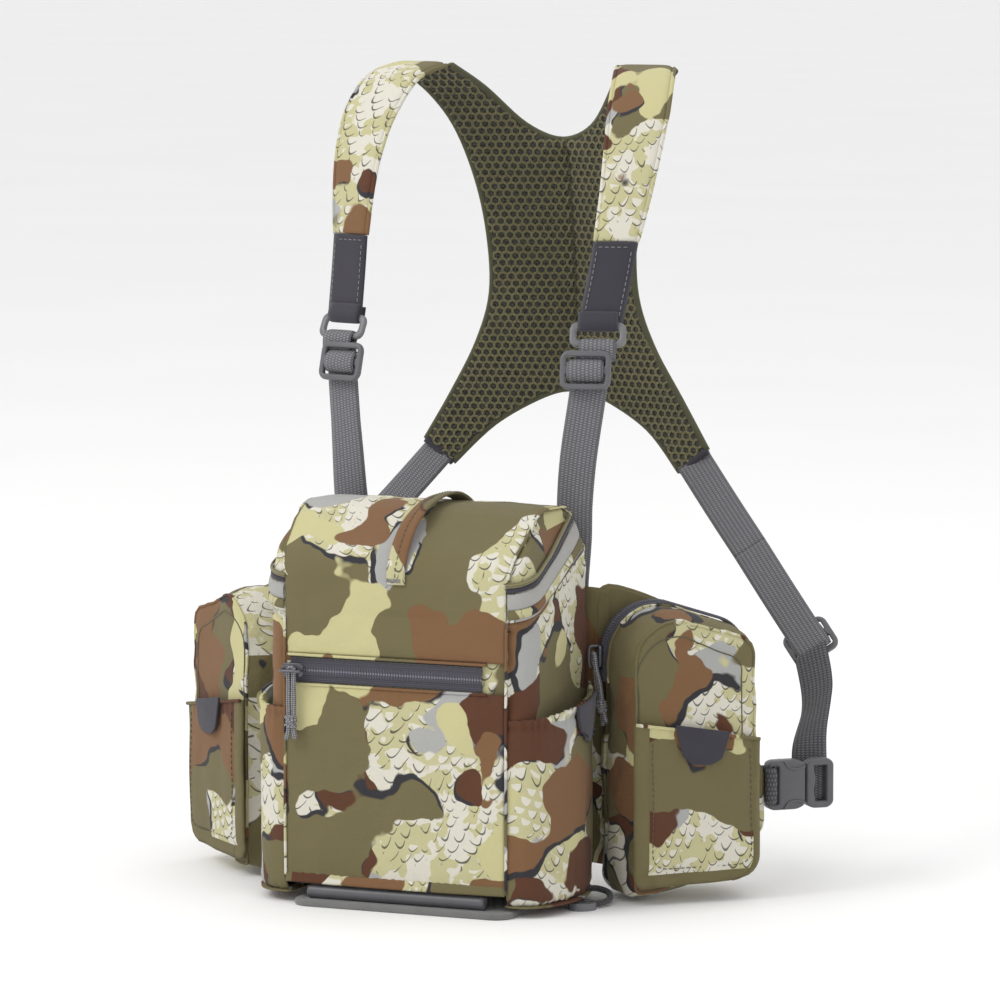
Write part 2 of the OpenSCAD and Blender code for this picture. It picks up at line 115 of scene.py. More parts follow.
class Val:
    """An output of a material's nodes, which takes part in sums as a number does."""

    def __init__(self, net, socket):
        self.net, self.socket = net, socket

    def then(self, operation, other=0.0, clamp=False):
        return self.net.math(operation, self, other, clamp)

    def __add__(self, other):
        return self.then("ADD", other)

    def __sub__(self, other):
        return self.then("SUBTRACT", other)

    def __mul__(self, other):
        return self.then("MULTIPLY", other)

    def __truediv__(self, other):
        return self.then("DIVIDE", other)

    def above(self, level, soft=0.01):
        """0 up to the level, then rising to 1 over the soft width."""
        return (self - level).then("DIVIDE", soft, clamp=True)

    def below(self, level, soft=0.01):
        return self.net.math("SUBTRACT", 1.0, self.above(level, soft), clamp=True)

    def wave(self, turns=1.0):
        return (self * turns).then("SINE")

    def axes(self):
        parts = self.net.node("ShaderNodeSeparateXYZ", {0: self}).outputs
        return [Val(self.net, parts[k]) for k in range(3)]

    def vector(self, operation, other):
        made = self.net.node("ShaderNodeVectorMath", {0: self, 1: other}, operation=operation)
        return Val(self.net, made.outputs[0])

    def shifted(self, offset):
        return self.vector("ADD", offset)

    def noise(self, scale, detail=2.0, distortion=0.0, rough=0.5, output="Fac"):
        made = self.net.node("ShaderNodeTexNoise", {
            "Vector": self, "Scale": scale, "Detail": detail, "Roughness": rough,
            "Distortion": distortion})
        return Val(self.net, made.outputs[output])


class Net:
    """A material's node tree, with short calls for the nodes that it uses."""

    def __init__(self, name, roughness=0.85, sheen=0.0, metallic=0.0):
        self.mat = bpy.data.materials.new(name)
        self.mat.use_nodes = True
        self.tree = self.mat.node_tree
        self.bsdf = self.tree.nodes["Principled BSDF"]
        self.set(self.bsdf.inputs["Roughness"], roughness)
        self.set(self.bsdf.inputs["Metallic"], metallic)
        if sheen:
            self.set(self.bsdf.inputs["Sheen Weight"], sheen)
            self.set(self.bsdf.inputs["Sheen Roughness"], 0.5)

    def set(self, socket, value):
        if isinstance(value, Val):
            self.tree.links.new(value.socket, socket)
        else:
            socket.default_value = value

    def node(self, kind, inputs, **settings):
        made = self.tree.nodes.new(kind)
        for key, value in settings.items():
            setattr(made, key, value)
        for key, value in inputs.items():
            self.set(made.inputs[key], value)
        return made

    def math(self, operation, a, b=0.0, clamp=False):
        made = self.node("ShaderNodeMath", {0: a, 1: b}, operation=operation, use_clamp=clamp)
        return Val(self, made.outputs[0])

    def attribute(self, name):
        return Val(self, self.node("ShaderNodeAttribute", {},
                                   attribute_name=name).outputs["Vector"])

    def place(self):
        return Val(self, self.node("ShaderNodeTexCoord", {}).outputs["Object"])

    def mix(self, share, a, b):
        made = self.node("ShaderNodeMix", {}, data_type="RGBA")
        for key, value in ((0, share), (6, a), (7, b)):
            self.set(made.inputs[key], value)
        return Val(self, made.outputs[2])

    def varied(self, colour, place, scale, amount=0.25):
        """The colour, lighter and darker with a noise."""
        low = tuple(c * (1 - amount) for c in colour[:3]) + (1,)
        high = tuple(min(1, c * (1 + amount)) for c in colour[:3]) + (1,)
        return self.mix(place.noise(scale, 3), low, high)

    def finish(self, colour, height=None, strength=0.3, distance=0.0003, roughness=None):
        self.set(self.bsdf.inputs["Base Color"], colour)
        if height is not None:
            bump = self.node("ShaderNodeBump", {"Height": height, "Strength": strength,
                                                "Distance": distance})
            self.set(self.bsdf.inputs["Normal"], Val(self, bump.outputs[0]))
        if roughness is not None:
            self.set(self.bsdf.inputs["Roughness"], roughness)
        return self.mat


TURN = 2 * math.pi


def weave_height(cloth, pitch):
    x, y, z = cloth.axes()
    return (x + y).wave(TURN / pitch) * (z + y * 0.6).wave(TURN / pitch)


def camo_material():
    """Patches of a generic scale camouflage, on cloth coordinates in millimetres."""
    net = Net("camo_fabric", 0.82, sheen=0.05)
    cloth = net.attribute("cloth")
    wobble = cloth.noise(0.05, output="Color").vector("MULTIPLY", (14, 14, 14))
    place = cloth.shifted(wobble)
    lights = place.shifted((9, 61, 240)).noise(0.020, 1)
    shown = lights.above(0.42, 0.02)
    # staggered rows of scales: a dark stroke round each, and cream inside it
    x, y, z = cloth.axes()
    rows = (y * 0.55 + z) / 6.2 + cloth.noise(0.045, 1) * 2.2
    odd = rows.then("FLOOR").then("PINGPONG", 1.0) * 0.5
    across = ((y * 0.7 + x * 0.9) / 7.4 + odd + lights * 3.0).then("FRACT") - 0.5
    up, lean = rows.then("FRACT"), across + 0.09
    over = up - (lean * lean * 3.4 + 0.12)
    inside = across.then("ABSOLUTE").below(0.36, 0.04)
    strokes = over.then("ABSOLUTE").below(0.055, 0.045) * inside
    strokes = strokes * cloth.noise(0.07, 1).above(0.40, 0.03)
    blobs = up.below(0.80, 0.05) * over.above(0.0, 0.04) * inside
    pale = cloth.shifted((50, 10, 10)).noise(0.085, 2.0).above(0.445, 0.01)
    pale = pale * blobs.then("MAXIMUM", lights.above(0.47, 0.02))
    colour = net.mix(pale, linear("C6C194"), linear("DEDACC"))
    colour = net.mix(strokes * 0.85, colour, linear("33312F"))
    # sharp-edged patches, most with a dark crescent along one side
    for offset, scale, level, paint, shadow in (
            ((71, 205, 13), 0.0175, 0.585, "ACACAA", (2.6, 1.2, 3.0)),
            ((140, 17, 260), 0.0185, 0.572, "572E12", (2.0, -1.0, 2.0)),
            ((0, 0, 0), 0.0155, 0.508, "6F6642", (2.4, -1.8, -3.2)),
            ((210, 90, 160), 0.0190, 0.635, "CBC592", None),
            ((33, 177, 88), 0.0185, 0.605, "7D5937", (-1.8, 1.2, 2.8))):
        if shadow:
            beside = place.shifted(tuple(a + b for a, b in zip(offset, shadow)))
            near = beside.noise(scale, 1.0, 0.2).above(level, 0.005)
            colour = net.mix(near * shown, colour, linear("24232B"))
        field = place.shifted(offset).noise(scale, 1.0, 0.2)
        colour = net.mix(field.above(level, 0.005), colour, linear(paint))
    grain = cloth.noise(1.3, 3, rough=0.7)
    height = weave_height(cloth, 0.9) * 0.35 + cloth.noise(0.10, 5) * 4.5
    return net.finish(net.mix(grain * 0.16, colour, linear("4A463C")), height, 0.42, 0.0012,
                      grain * 0.2 + 0.72)


def plain_fabric(name, colour, pitch=0.9, amount=0.22, roughness=0.88, fuzz=0.6, sheen=0.15):
    net, colour = Net(name, roughness, sheen), linear(colour)
    cloth = net.attribute("cloth")
    height = weave_height(cloth, pitch) * 0.5 + cloth.noise(0.5, 4) * fuzz
    paint = net.mix(height.above(0.0, 1.6), net.varied(colour, cloth, 0.08, amount),
                    net.varied(colour, cloth, 1.1, amount + 0.12))
    return net.finish(paint, height, 0.45, 0.0004)


def webbing_material(name, dark, light, columns, dash):
    net = Net(name, 0.7, sheen=0.1)
    along, across, _ = net.attribute("weave").axes()
    column = across / columns
    odd = column.then("FLOOR").then("PINGPONG", 1.0) * 0.5
    dashes = (along / dash + odd).then("FRACT").wave(math.pi)
    height = dashes * column.then("FRACT").wave(math.pi).then("POWER", 0.6)
    share = height.above(0.35, 0.5) * (net.attribute("cloth").noise(0.6, 3) * 0.8 + 0.35)
    return net.finish(net.mix(share, linear(dark), linear(light)), height, 0.6, 0.0005)


def elastic_material():
    net = Net("olive_elastic", 0.8, sheen=0.2)
    along, across, _ = net.attribute("weave").axes()
    cloth = net.attribute("cloth")
    height = across.wave(TURN / 1.3) + along.wave(TURN / 0.8) * 0.4
    colour = net.mix(height.above(-1.2, 2.4), net.varied(linear("5F5A3B"), cloth, 0.1),
                     net.varied(linear("857D55"), cloth, 0.1))
    return net.finish(colour, height, 0.4, 0.0003)


def cord_material(name, dark, light):
    """A braid, from two waves that wind round the cord in opposite ways."""
    net = Net(name, 0.75, sheen=0.15)
    along, side, front = net.attribute("weave").axes()
    angle, turn = side.then("ARCTAN2", front) * 3.0, along * (TURN / 2.2)
    one, two = (turn + angle).then("SINE"), (turn - angle).then("SINE")
    braid = (one * two).above(-0.1, 0.5)
    return net.finish(net.mix(braid, linear(dark), linear(light)), one.then("MAXIMUM", two),
                      0.6, 0.0004)


def hard_material(name, colour, roughness=0.42, grain=0.8, metallic=0.0, edge_highlight=0.5):
    net, colour = Net(name, roughness, metallic=metallic), linear(colour)
    place = net.place().vector("MULTIPLY", (1000, 1000, 1000))
    # pointiness finds the convex edges, and paint lightens them toward light by edge_highlight: a
    # painted highlight along the edges
    edge = Val(net, net.node("ShaderNodeNewGeometry", {}).outputs["Pointiness"])
    light = tuple(min(1, c * 1.9 + 0.02) for c in colour[:3]) + (1,)
    speck = place.noise(0.9, 4, rough=0.7)
    paint = net.mix(edge.above(0.53, 0.1) * edge_highlight, net.varied(colour, place, 0.12, 0.18), light)
    return net.finish(paint, speck, 0.12, 0.00015 * grain, speck * 0.25 + (roughness - 0.12))


def spacer_material(name, colour, low, scale):
    """Knitted mesh: small open cells over a darker ground."""
    net = Net(name, 0.85, sheen=0.1)
    cloth = net.attribute("cloth")
    cells = net.node("ShaderNodeTexVoronoi", {"Vector": cloth, "Scale": scale},
                     feature="DISTANCE_TO_EDGE")
    strand = Val(net, cells.outputs["Distance"]).below(0.10, 0.12)
    return net.finish(net.mix(strand, linear(low), net.varied(linear(colour), cloth, 0.2)),
                      strand, 0.7, 0.0008)


def zip_material():
    net = Net("zip_fabric", 0.8, sheen=0.08)
    along, across, _ = net.attribute("weave").axes()
    away = across.then("ABSOLUTE")
    tooth, ribs = along.wave(TURN / 1.5), across.wave(TURN / 1.1)
    chain = away.below(2.5, 0.3)
    colour = net.mix(ribs.above(-1.0, 2.0), linear("3B3942"), linear("4B4953"))
    colour = net.mix(chain * tooth.above(-0.4, 0.8), colour, linear("55535E"))
    colour = net.mix(away.below(0.35, 0.25) * tooth.above(-0.6, 0.5), colour, linear("8B8994"))
    worn = net.mix(net.attribute("cloth").noise(0.8, 3) * 0.25, colour, linear("2E2D33"))
    return net.finish(worn, tooth * chain + ribs * 0.4, 0.6, 0.0004)


CAMO = camo_material()
ZIP = zip_material()
OLIVE = plain_fabric("olive_binding", "6B6341", 0.9, 0.2, fuzz=1.2, sheen=0.05)
CHARCOAL = plain_fabric("charcoal_fabric", "34323B")
LINING = plain_fabric("lining", "34333A", 1.1, 0.15)
FELT = plain_fabric("felt", "6E6E6D", 1.6, 0.35, 0.95, 1.6, 0.3)
THREAD = plain_fabric("thread", "8C8A88", 0.5, 0.2)
THREAD_DARK = plain_fabric("thread_dark", "56543F", 0.5, 0.2)
STRAND = plain_fabric("mesh_strand", "6A6545", 0.8, 0.3, 0.8)
EDGE = plain_fabric("mesh_edge", "4B4A33", 1.0, 0.25, 0.85)
PIT = spacer_material("mesh_pit", "4C4A40", "2A2926", 0.62)
MESH = spacer_material("spacer_mesh", "6D6848", "2B2A26", 0.26)
ELASTIC = elastic_material()
WEB = webbing_material("webbing", "56555A", "8B8B8E", 2.2, 1.3)
WEB_DARK = webbing_material("webbing_dark", "3C3B3F", "6E6D70", 2.4, 1.4)
LIGHT_BAND = plain_fabric("light_band", "A09F9B", 0.9, 0.1)
CORD = cord_material("cord", "55545A", "9B9A9C")
CORD_DARK = cord_material("cord_dark", "2B2A2C", "4A494B")
PLASTIC = hard_material("hardware", "5A5A5E")
PLASTIC_LIGHT = hard_material("ring_plastic", "6A6A6D", 0.36)
PLASTIC_DARK = hard_material("dark_plastic", "56565A", 0.4)
STEEL = hard_material("painted_metal", "5A5A60", 0.34, 0.5, 0.55)
MAGNET = hard_material("magnet", "9A9CA0", 0.3, 0.4, 0.9)
BOARD = plain_fabric("stiffener", "26262A", 2.0, 0.1, 0.6, 0.2, 0.0)

# ---------------------------------------------------------------- mesh tools, in mm


def unit(v):
    v = np.asarray(v, float)
    return v / max(np.linalg.norm(v), 1e-9)


def spline(points, steps=4):
    """A smooth run through the points, as the CAD's."""
    p = np.asarray(points, float)
    out, last = [], len(p) - 1
    for i in range(last):
        a, b, c, d = p[max(i - 1, 0)], p[i], p[i + 1], p[min(i + 2, last)]
        for k in range(steps):
            t = k / steps
            out.append((2 * b + (c - a) * t + (2 * a - 5 * b + 4 * c - d) * t * t
                        + (3 * b - a - 3 * c + d) * t ** 3) / 2)
    return np.array(out + [p[-1]])


def lengths(points):
    steps = np.linalg.norm(np.diff(points, axis=0), axis=1)
    return np.concatenate([[0], np.cumsum(steps)])


def at_run(at, run, p):
    """The rows of p at the places in at, where run holds each row's own place."""
    return np.array([np.interp(at, run, p[:, k]) for k in range(p.shape[1])]).T


def resample(points, count, closed=False):
    p = np.asarray(points, float)
    if closed:
        p = np.vstack([p, p[:1]])
    run = lengths(p)
    at = np.linspace(0, run[-1], count + 1)[:-1] if closed else np.linspace(0, run[-1], count)
    return at_run(at, run, p)


def per_row(v, count):
    """One vector for each row, from one vector or from as many."""
    v = np.asarray(v, float)
    return np.tile(v, (count, 1)) if v.ndim == 1 else v


def arc(cx, cy, radius, start, end, steps=8):
    angles = np.radians(np.linspace(start, end, steps + 1))
    return [(cx + radius * math.cos(a), cy + radius * math.sin(a)) for a in angles]


def rounded(w, h, r, cx=0.0, cy=0.0, steps=6):
    pts = []
    for sx, sy, a in ((1, 1, 0), (-1, 1, 90), (-1, -1, 180), (1, -1, 270)):
        pts += arc(cx + sx * (w / 2 - r), cy + sy * (h / 2 - r), r, a, a + 90, steps)
    return pts


def soften(points, radius, steps=5):
    """A polygon with its corners rounded."""
    p, out = np.asarray(points, float), []
    for i in range(len(p)):
        a, b, c = p[i - 1], p[i], p[(i + 1) % len(p)]
        r = min(radius, np.linalg.norm(a - b) * 0.45, np.linalg.norm(c - b) * 0.45)
        s, e = b + unit(a - b) * r, b + unit(c - b) * r
        out += [tuple((1 - t) ** 2 * s + 2 * t * (1 - t) * b + t * t * e)
                for t in np.linspace(0, 1, steps)]
    return out


def bell(x, width):
    return np.exp(-(x / width) ** 2)


def lump(x, y, z):
    """Blender's smooth noise at a point, from about -1 to 1, the same in every run."""
    return noise.noise(Vector((x, y, z)))


def crumple(points, size, seed):
    shift = Vector((seed * 7.3, seed * 3.1, seed * 5.7))
    return np.array([noise.noise(Vector(p) / size + shift) for p in points])


def evaluated(obj):
    bpy.context.view_layer.update()
    return obj.evaluated_get(bpy.context.evaluated_depsgraph_get())


def read(mesh, what="co"):
    return np.array([getattr(v, what) for v in mesh.vertices])


def write(mesh, points):
    mesh.vertices.foreach_set("co", (points * MM).ravel())
    mesh.update()


def panel(number):
    """Where a panel lies in the camouflage: each number cuts it from another place."""
    return np.array([97.0, 53.0, 131.0]) * number


def dress(mesh, shift, flip=False):
    """Gives each face corner its cloth coordinates: its rest place plus its panel's shift."""
    co = read(mesh) / MM
    index = np.empty(len(mesh.loops), int)
    mesh.loops.foreach_get("vertex_index", index)
    values = co[index] * MIRROR[flip]
    if callable(shift):
        for face in mesh.polygons:
            values[list(face.loop_indices)] += shift(co[list(face.vertices)].mean(0))
    else:
        values = values + np.asarray(shift, float)
    layer = mesh.attributes.get("cloth") or mesh.attributes.new(
        "cloth", "FLOAT_VECTOR", "CORNER")
    layer.data.foreach_set("vector", values.astype(np.float32).ravel())


def bind(obj, body, nodes=()):
    if nodes:
        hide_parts(*nodes)
    if body:
        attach(obj, body)
    return obj


def piece(name, points, faces, materials, body, slot=None, flip=False, weave=None,
          shift=(0, 0, 0), choose=None, nodes=()):
    """Makes a mesh piece from points in mm, mirrored in X for the left side. The slot
    argument is not used."""
    points = np.array(points, float).reshape(-1, 3) * MIRROR[flip]
    if flip:
        faces = [tuple(reversed(f)) for f in faces]
    mesh = bpy.data.meshes.new(name)
    mesh.from_pydata((points * MM).tolist(), [], [tuple(map(int, f)) for f in faces])
    mesh.validate()
    obj = bpy.data.objects.new(name, mesh)
    scene.collection.objects.link(obj)
    materials = materials if isinstance(materials, list) else [materials]
    for material in materials:
        mesh.materials.append(material)
    mesh.polygons.foreach_set("use_smooth", [True] * len(mesh.polygons))
    if weave is not None and len(weave) == len(mesh.vertices):
        layer = mesh.attributes.new("weave", "FLOAT_VECTOR", "POINT")
        layer.data.foreach_set("vector", np.array(weave, np.float32).ravel())
    if choose is not None:
        for face in mesh.polygons:
            face.material_index = choose(np.array(face.center / MM) * MIRROR[flip])
    dress(mesh, shift, flip)
    return bind(obj, body, nodes)


def quads(rows, columns, close_rows=False, close_columns=False):
    faces = []
    for i in range(rows if close_rows else rows - 1):
        for j in range(columns if close_columns else columns - 1):
            low, high = i * columns, ((i + 1) % rows) * columns
            faces.append((low + j, low + (j + 1) % columns, high + (j + 1) % columns, high + j))
    return faces


def turned_over(faces):
    return [tuple(reversed(f)) for f in faces]


def ends(count, ring, base=0):
    """The two end faces of a run of rings."""
    return [tuple(base + k for k in reversed(range(ring))),
            tuple(base + (count - 1) * ring + k for k in range(ring))]


def facing_out(points, faces, sample, centre):
    """The faces, turned over if the sample one looks toward the centre."""
    a, b, c = (np.asarray(points[k], float) for k in faces[sample][:3])
    return turned_over(faces) if np.dot(np.cross(b - a, c - b), a - centre) < 0 else faces


def tidy_normals(obj):
    work = bmesh.new()
    work.from_mesh(obj.data)
    bmesh.ops.recalc_face_normals(work, faces=work.faces)
    work.to_mesh(obj.data)
    work.free()
    return obj


def normals_of(grid):
    n = np.cross(np.gradient(grid, axis=1), np.gradient(grid, axis=0))
    return n / np.maximum(np.linalg.norm(n, axis=2, keepdims=True), 1e-9)


def layered(rows, columns, over=False):
    """Faces of two layers of points, one under the other, with a closed rim."""
    front, count = quads(rows, columns), rows * columns
    if over:
        front = turned_over(front)
    rim = (list(range(columns)) + [i * columns + columns - 1 for i in range(1, rows)]
           + [(rows - 1) * columns + j for j in range(columns - 2, -1, -1)]
           + [i * columns for i in range(rows - 2, 0, -1)])
    side = []
    for a, b in zip(rim, rim[1:] + rim[:1]):
        side.append((a, b, b + count, a + count) if over else (b, a, a + count, b + count))
    return front + [tuple(count + k for k in reversed(f)) for f in front] + side


def sheet_piece(name, grid, thickness, materials, body, outward, **more):
    """A cloth layer from a grid of outer points, with an inner face and a closed edge."""
    grid = np.asarray(grid, float)
    rows, columns = grid.shape[:2]
    n = normals_of(grid)
    if np.dot(n[rows // 2, columns // 2], np.asarray(outward, float)) < 0:
        n = -n
    points = np.vstack([grid.reshape(-1, 3), (grid - n * thickness).reshape(-1, 3)])
    front = quads(rows, columns)
    sample = front[len(front) // 2]
    a, b, c = (points[k] for k in sample[:3])
    over = np.dot(np.cross(b - a, c - b), n.reshape(-1, 3)[sample[0]]) < 0
    if more.get("weave") is not None:
        more["weave"] = np.vstack([more["weave"]] * 2)
    return piece(name, points, layered(rows, columns, over), materials, body, **more)


def band(name, route, across, width, thickness, materials, body, spacing=2.0, columns=10,
         ripple=0.0, **more):
    """A strap: a rounded flat section swept along a route. across and width may vary."""
    route = np.asarray(route, float)
    total = lengths(route)[-1]
    own = lengths(route) / total
    count = max(4, int(total / spacing) + 1)
    share = np.linspace(0, 1, count)
    centre = at_run(share, own, route)
    side = at_run(share, own, per_row(across, len(route)))
    half = np.interp(share, own, np.broadcast_to(np.asarray(width, float), len(route))) / 2
    tangents = np.gradient(centre, axis=0)
    x = np.linspace(-1, 1, columns + 1)
    lift = (1 - np.abs(x) ** 6) ** 0.5
    ring = [(x[j], lift[j]) for j in range(columns + 1)]
    ring += [(x[j], -lift[j]) for j in range(columns - 1, 0, -1)]
    points, weave = [], []
    for i in range(count):
        t, s = unit(tangents[i]), unit(side[i])
        n = unit(np.cross(t, s))
        for a, b in ring:
            wave = ripple * math.sin(share[i] * total * 1.9 + a * 2.0) if ripple else 0
            points.append(centre[i] + s * (half[i] * a) + n * (thickness / 2 * b + wave))
            weave.append((share[i] * total, half[i] * a, b))
    faces = quads(count, len(ring), close_columns=True) + ends(count, len(ring))
    faces = facing_out(points, faces, columns // 2, centre[0])
    return piece(name, points, faces, materials, body, weave=weave, **more)


def tube(name, route, radius, material, body, closed=False, sides=10, **more):
    """A round cord along a route; radius is a number or one number per point."""
    route = np.asarray(route, float)
    count, run = len(route), lengths(route)
    radii = np.broadcast_to(np.asarray(radius, float), count)
    tangents = (np.roll(route, -1, 0) - np.roll(route, 1, 0) if closed
                else np.gradient(route, axis=0))
    tangents = np.array([unit(t) for t in tangents])
    guide = np.array([0, 0, 1.0]) if abs(tangents[0][2]) < 0.8 else np.array([1.0, 0, 0])
    points, weave = [], []
    for i in range(count):
        guide = unit(guide - tangents[i] * np.dot(guide, tangents[i]))
        other = np.cross(tangents[i], guide)
        for k in range(sides):
            a = 2 * math.pi * k / sides
            points.append(route[i] + (guide * math.cos(a) + other * math.sin(a)) * radii[i])
            weave.append((run[i], math.sin(a), math.cos(a)))
    faces = quads(count, sides, close_rows=closed, close_columns=True)
    if not closed:
        faces += ends(count, sides)
    faces = facing_out(points, faces, 0, route[0])
    return piece(name, points, faces, material, body, weave=weave, **more)


def join(name, parts, body=None, nodes=()):
    """Joins pieces made without a body into one, and lets it ride."""
    for o in bpy.context.selected_objects:
        o.select_set(False)
    with bpy.context.temp_override(active_object=parts[0], selected_editable_objects=parts,
                                   selected_objects=parts):
        bpy.ops.object.join()
    obj = parts[0]
    obj.name = obj.data.name = name
    return bind(obj, body, nodes)


def plate(name, outline, low, high, bevel, place, material, body, holes=(), **more):
    """A flat part with rounded edges. outline and holes are in (u, v), low and high are its
    faces along w, and place turns (u, v, w) arrays into points of the frame."""
    curve = bpy.data.curves.new(name, "CURVE")
    curve.dimensions, curve.fill_mode = "2D", "BOTH"
    curve.extrude = (high - low) / 2 - bevel
    curve.bevel_depth, curve.bevel_resolution, curve.offset = bevel, 3, -bevel
    for loop in [outline] + list(holes):
        line = curve.splines.new("POLY")
        line.points.add(len(loop) - 1)
        for point, (u, v) in zip(line.points, loop):
            point.co = (u, v, 0, 1)
        line.use_cyclic_u = True
    holder = bpy.data.objects.new(name, curve)
    scene.collection.objects.link(holder)
    work = bmesh.new()
    work.from_mesh(evaluated(holder).to_mesh())
    bmesh.ops.remove_doubles(work, verts=work.verts, dist=0.01)
    bmesh.ops.recalc_face_normals(work, faces=work.faces)
    work.verts.ensure_lookup_table()
    flat = np.array([v.co for v in work.verts])
    flat[:, 2] += (low + high) / 2
    faces = [tuple(v.index for v in f.verts) for f in work.faces]
    work.free()
    bpy.data.objects.remove(holder)
    test = place(np.array([[0, 0, 0], [1, 0, 0], [0, 1, 0], [0, 0, 1.0]]))
    if np.linalg.det(test[1:] - test[0]) < 0:
        faces = turned_over(faces)
    obj = piece(name, np.asarray(place(flat), float), faces, material, body, weave=flat, **more)
    obj.data.set_sharp_from_angle(angle=math.radians(38))
    return obj


def stitches(name, route, normal, body, stitch=2.6, gap=1.5, radius=0.26, material=None, **more):
    """Short thread dashes along a route, standing a little proud of the cloth."""
    route = np.asarray(route, float)
    run, normal = lengths(route), per_row(normal, len(route))
    points, faces, weave = [], [], []
    start, sides = gap / 2, 5
    profile = ((0, -0.25), (0.2, 0.16), (0.5, 0.26), (0.8, 0.16), (1, -0.25))
    while start + stitch < run[-1]:
        base = len(points)
        for share, lift in profile:
            at = start + stitch * share
            ahead = at_run(at + 0.3, run, route) - at_run(at - 0.3, run, route)
            n = unit(at_run(at, run, normal))
            side = unit(np.cross(unit(ahead), n))
            for q in range(sides):
                a = 2 * math.pi * q / sides
                points.append(at_run(at, run, route) + n * (lift + radius * math.cos(a))
                              + side * radius * math.sin(a))
                weave.append((at, math.sin(a), math.cos(a)))
        faces += [tuple(base + k for k in f)
                  for f in quads(len(profile), sides, close_columns=True)]
        faces += ends(len(profile), sides, base)
        start += stitch + gap
    return tidy_normals(piece(name, points, faces, material or THREAD, body, weave=weave,
                              **more))


def modify(obj, kind, **settings):
    modifier = obj.modifiers.new(kind.lower(), kind)
    for key, value in settings.items():
        setattr(modifier, key, value)


def applied(obj, kind, **settings):
    """Puts one modifier on a piece, and then its result in the piece's mesh."""
    modify(obj, kind, **settings)
    made = bpy.data.meshes.new_from_object(evaluated(obj))
    obj.modifiers.clear()
    obj.data = made
    return made


def puff(obj, pinned, cap, voxel, pressure=4.0, shift=(0, 0, 0), stiff=12.0, flip=False):
    """Remeshes a closed piece, lets air pressure fill it, and keeps the seams where they are."""
    for o in scene.objects:
        o.select_set(False)
    made = applied(obj, "REMESH", mode="VOXEL", voxel_size=voxel * MM, use_smooth_shade=True)
    rest = read(made) / MM
    group = obj.vertex_groups.new(name="pin")
    for i, p in enumerate(rest):
        if pinned(p * MIRROR[flip]):
            group.add([i], 1.0, "REPLACE")
    cloth = obj.modifiers.new("cloth", "CLOTH")
    for key, value in (
            ("quality", 6), ("mass", 0.15), ("tension_stiffness", stiff),
            ("compression_stiffness", stiff), ("shear_stiffness", stiff / 2),
            ("bending_stiffness", 0.25), ("use_pressure", True),
            ("uniform_pressure_force", pressure), ("vertex_group_mass", "pin")):
        setattr(cloth.settings, key, value)
    cloth.settings.effector_weights.gravity = 0
    cloth.point_cache.frame_start, cloth.point_cache.frame_end = 1, 20
    for number in range(1, 21):
        scene.frame_set(number)
    step = read(obj.evaluated_get(bpy.context.evaluated_depsgraph_get()).data) / MM - rest
    obj.modifiers.clear()
    scene.frame_set(1)
    size = np.linalg.norm(step, axis=1, keepdims=True)
    write(made, rest + step * np.minimum(1, cap / np.maximum(size, 1e-9)))
    fine = applied(obj, "SUBSURF", levels=1, render_levels=1)
    obj.vertex_groups.clear()
    fine.polygons.foreach_set("use_smooth", [True] * len(fine.polygons))
    dress(fine, shift, flip)


def surface(obj):
    return BVHTree.FromPolygons([v.co.copy() for v in obj.data.vertices],
                                [tuple(p.vertices) for p in obj.data.polygons])


def snapped(route, obj, flip, lift):
    """The route moved to the nearest points of a piece's surface, lift mm proud of it."""
    tree, out = surface(obj), []
    for p in np.asarray(route, float) * MIRROR[flip]:
        near, normal, _, _ = tree.find_nearest(Vector(p) * MM)
        out.append((np.array(near) / MM + np.array(normal) * lift) * MIRROR[flip])
    return np.array(out)


def facing(x=0.0, y=0.0, z=0.0):
    """(u, v, w) to X, Z and -Y, about a point."""
    return lambda p: np.stack([x + p[:, 0], y - p[:, 2], z + p[:, 1]], 1)


def wing(p):
    """Wing coordinates to the frame's, on the right side."""
    p = np.asarray(p, float)
    x, y, z = p[..., 0], p[..., 1], p[..., 2]
    return np.stack([WING_AT[0] + x * WING_COS - y * WING_SIN,
                     WING_AT[1] + x * WING_SIN + y * WING_COS, z], -1)


def from_wing(p):
    """The frame's coordinates to the wing's, on the right side."""
    x, y = p[0] - WING_AT[0], p[1] - WING_AT[1]
    return x * WING_COS + y * WING_SIN, -x * WING_SIN + y * WING_COS, p[2]


def wing_way(x, y, z):
    """A direction in wing coordinates, turned to the frame's."""
    return np.array([x * WING_COS - y * WING_SIN, x * WING_SIN + y * WING_COS, z])


def on_wing(p):
    """(u, v, w) to the wing's X, Z and -Y."""
    return wing(facing()(p))


# ---------------------------------------------------------------- cords first

CORD_R = 1.3


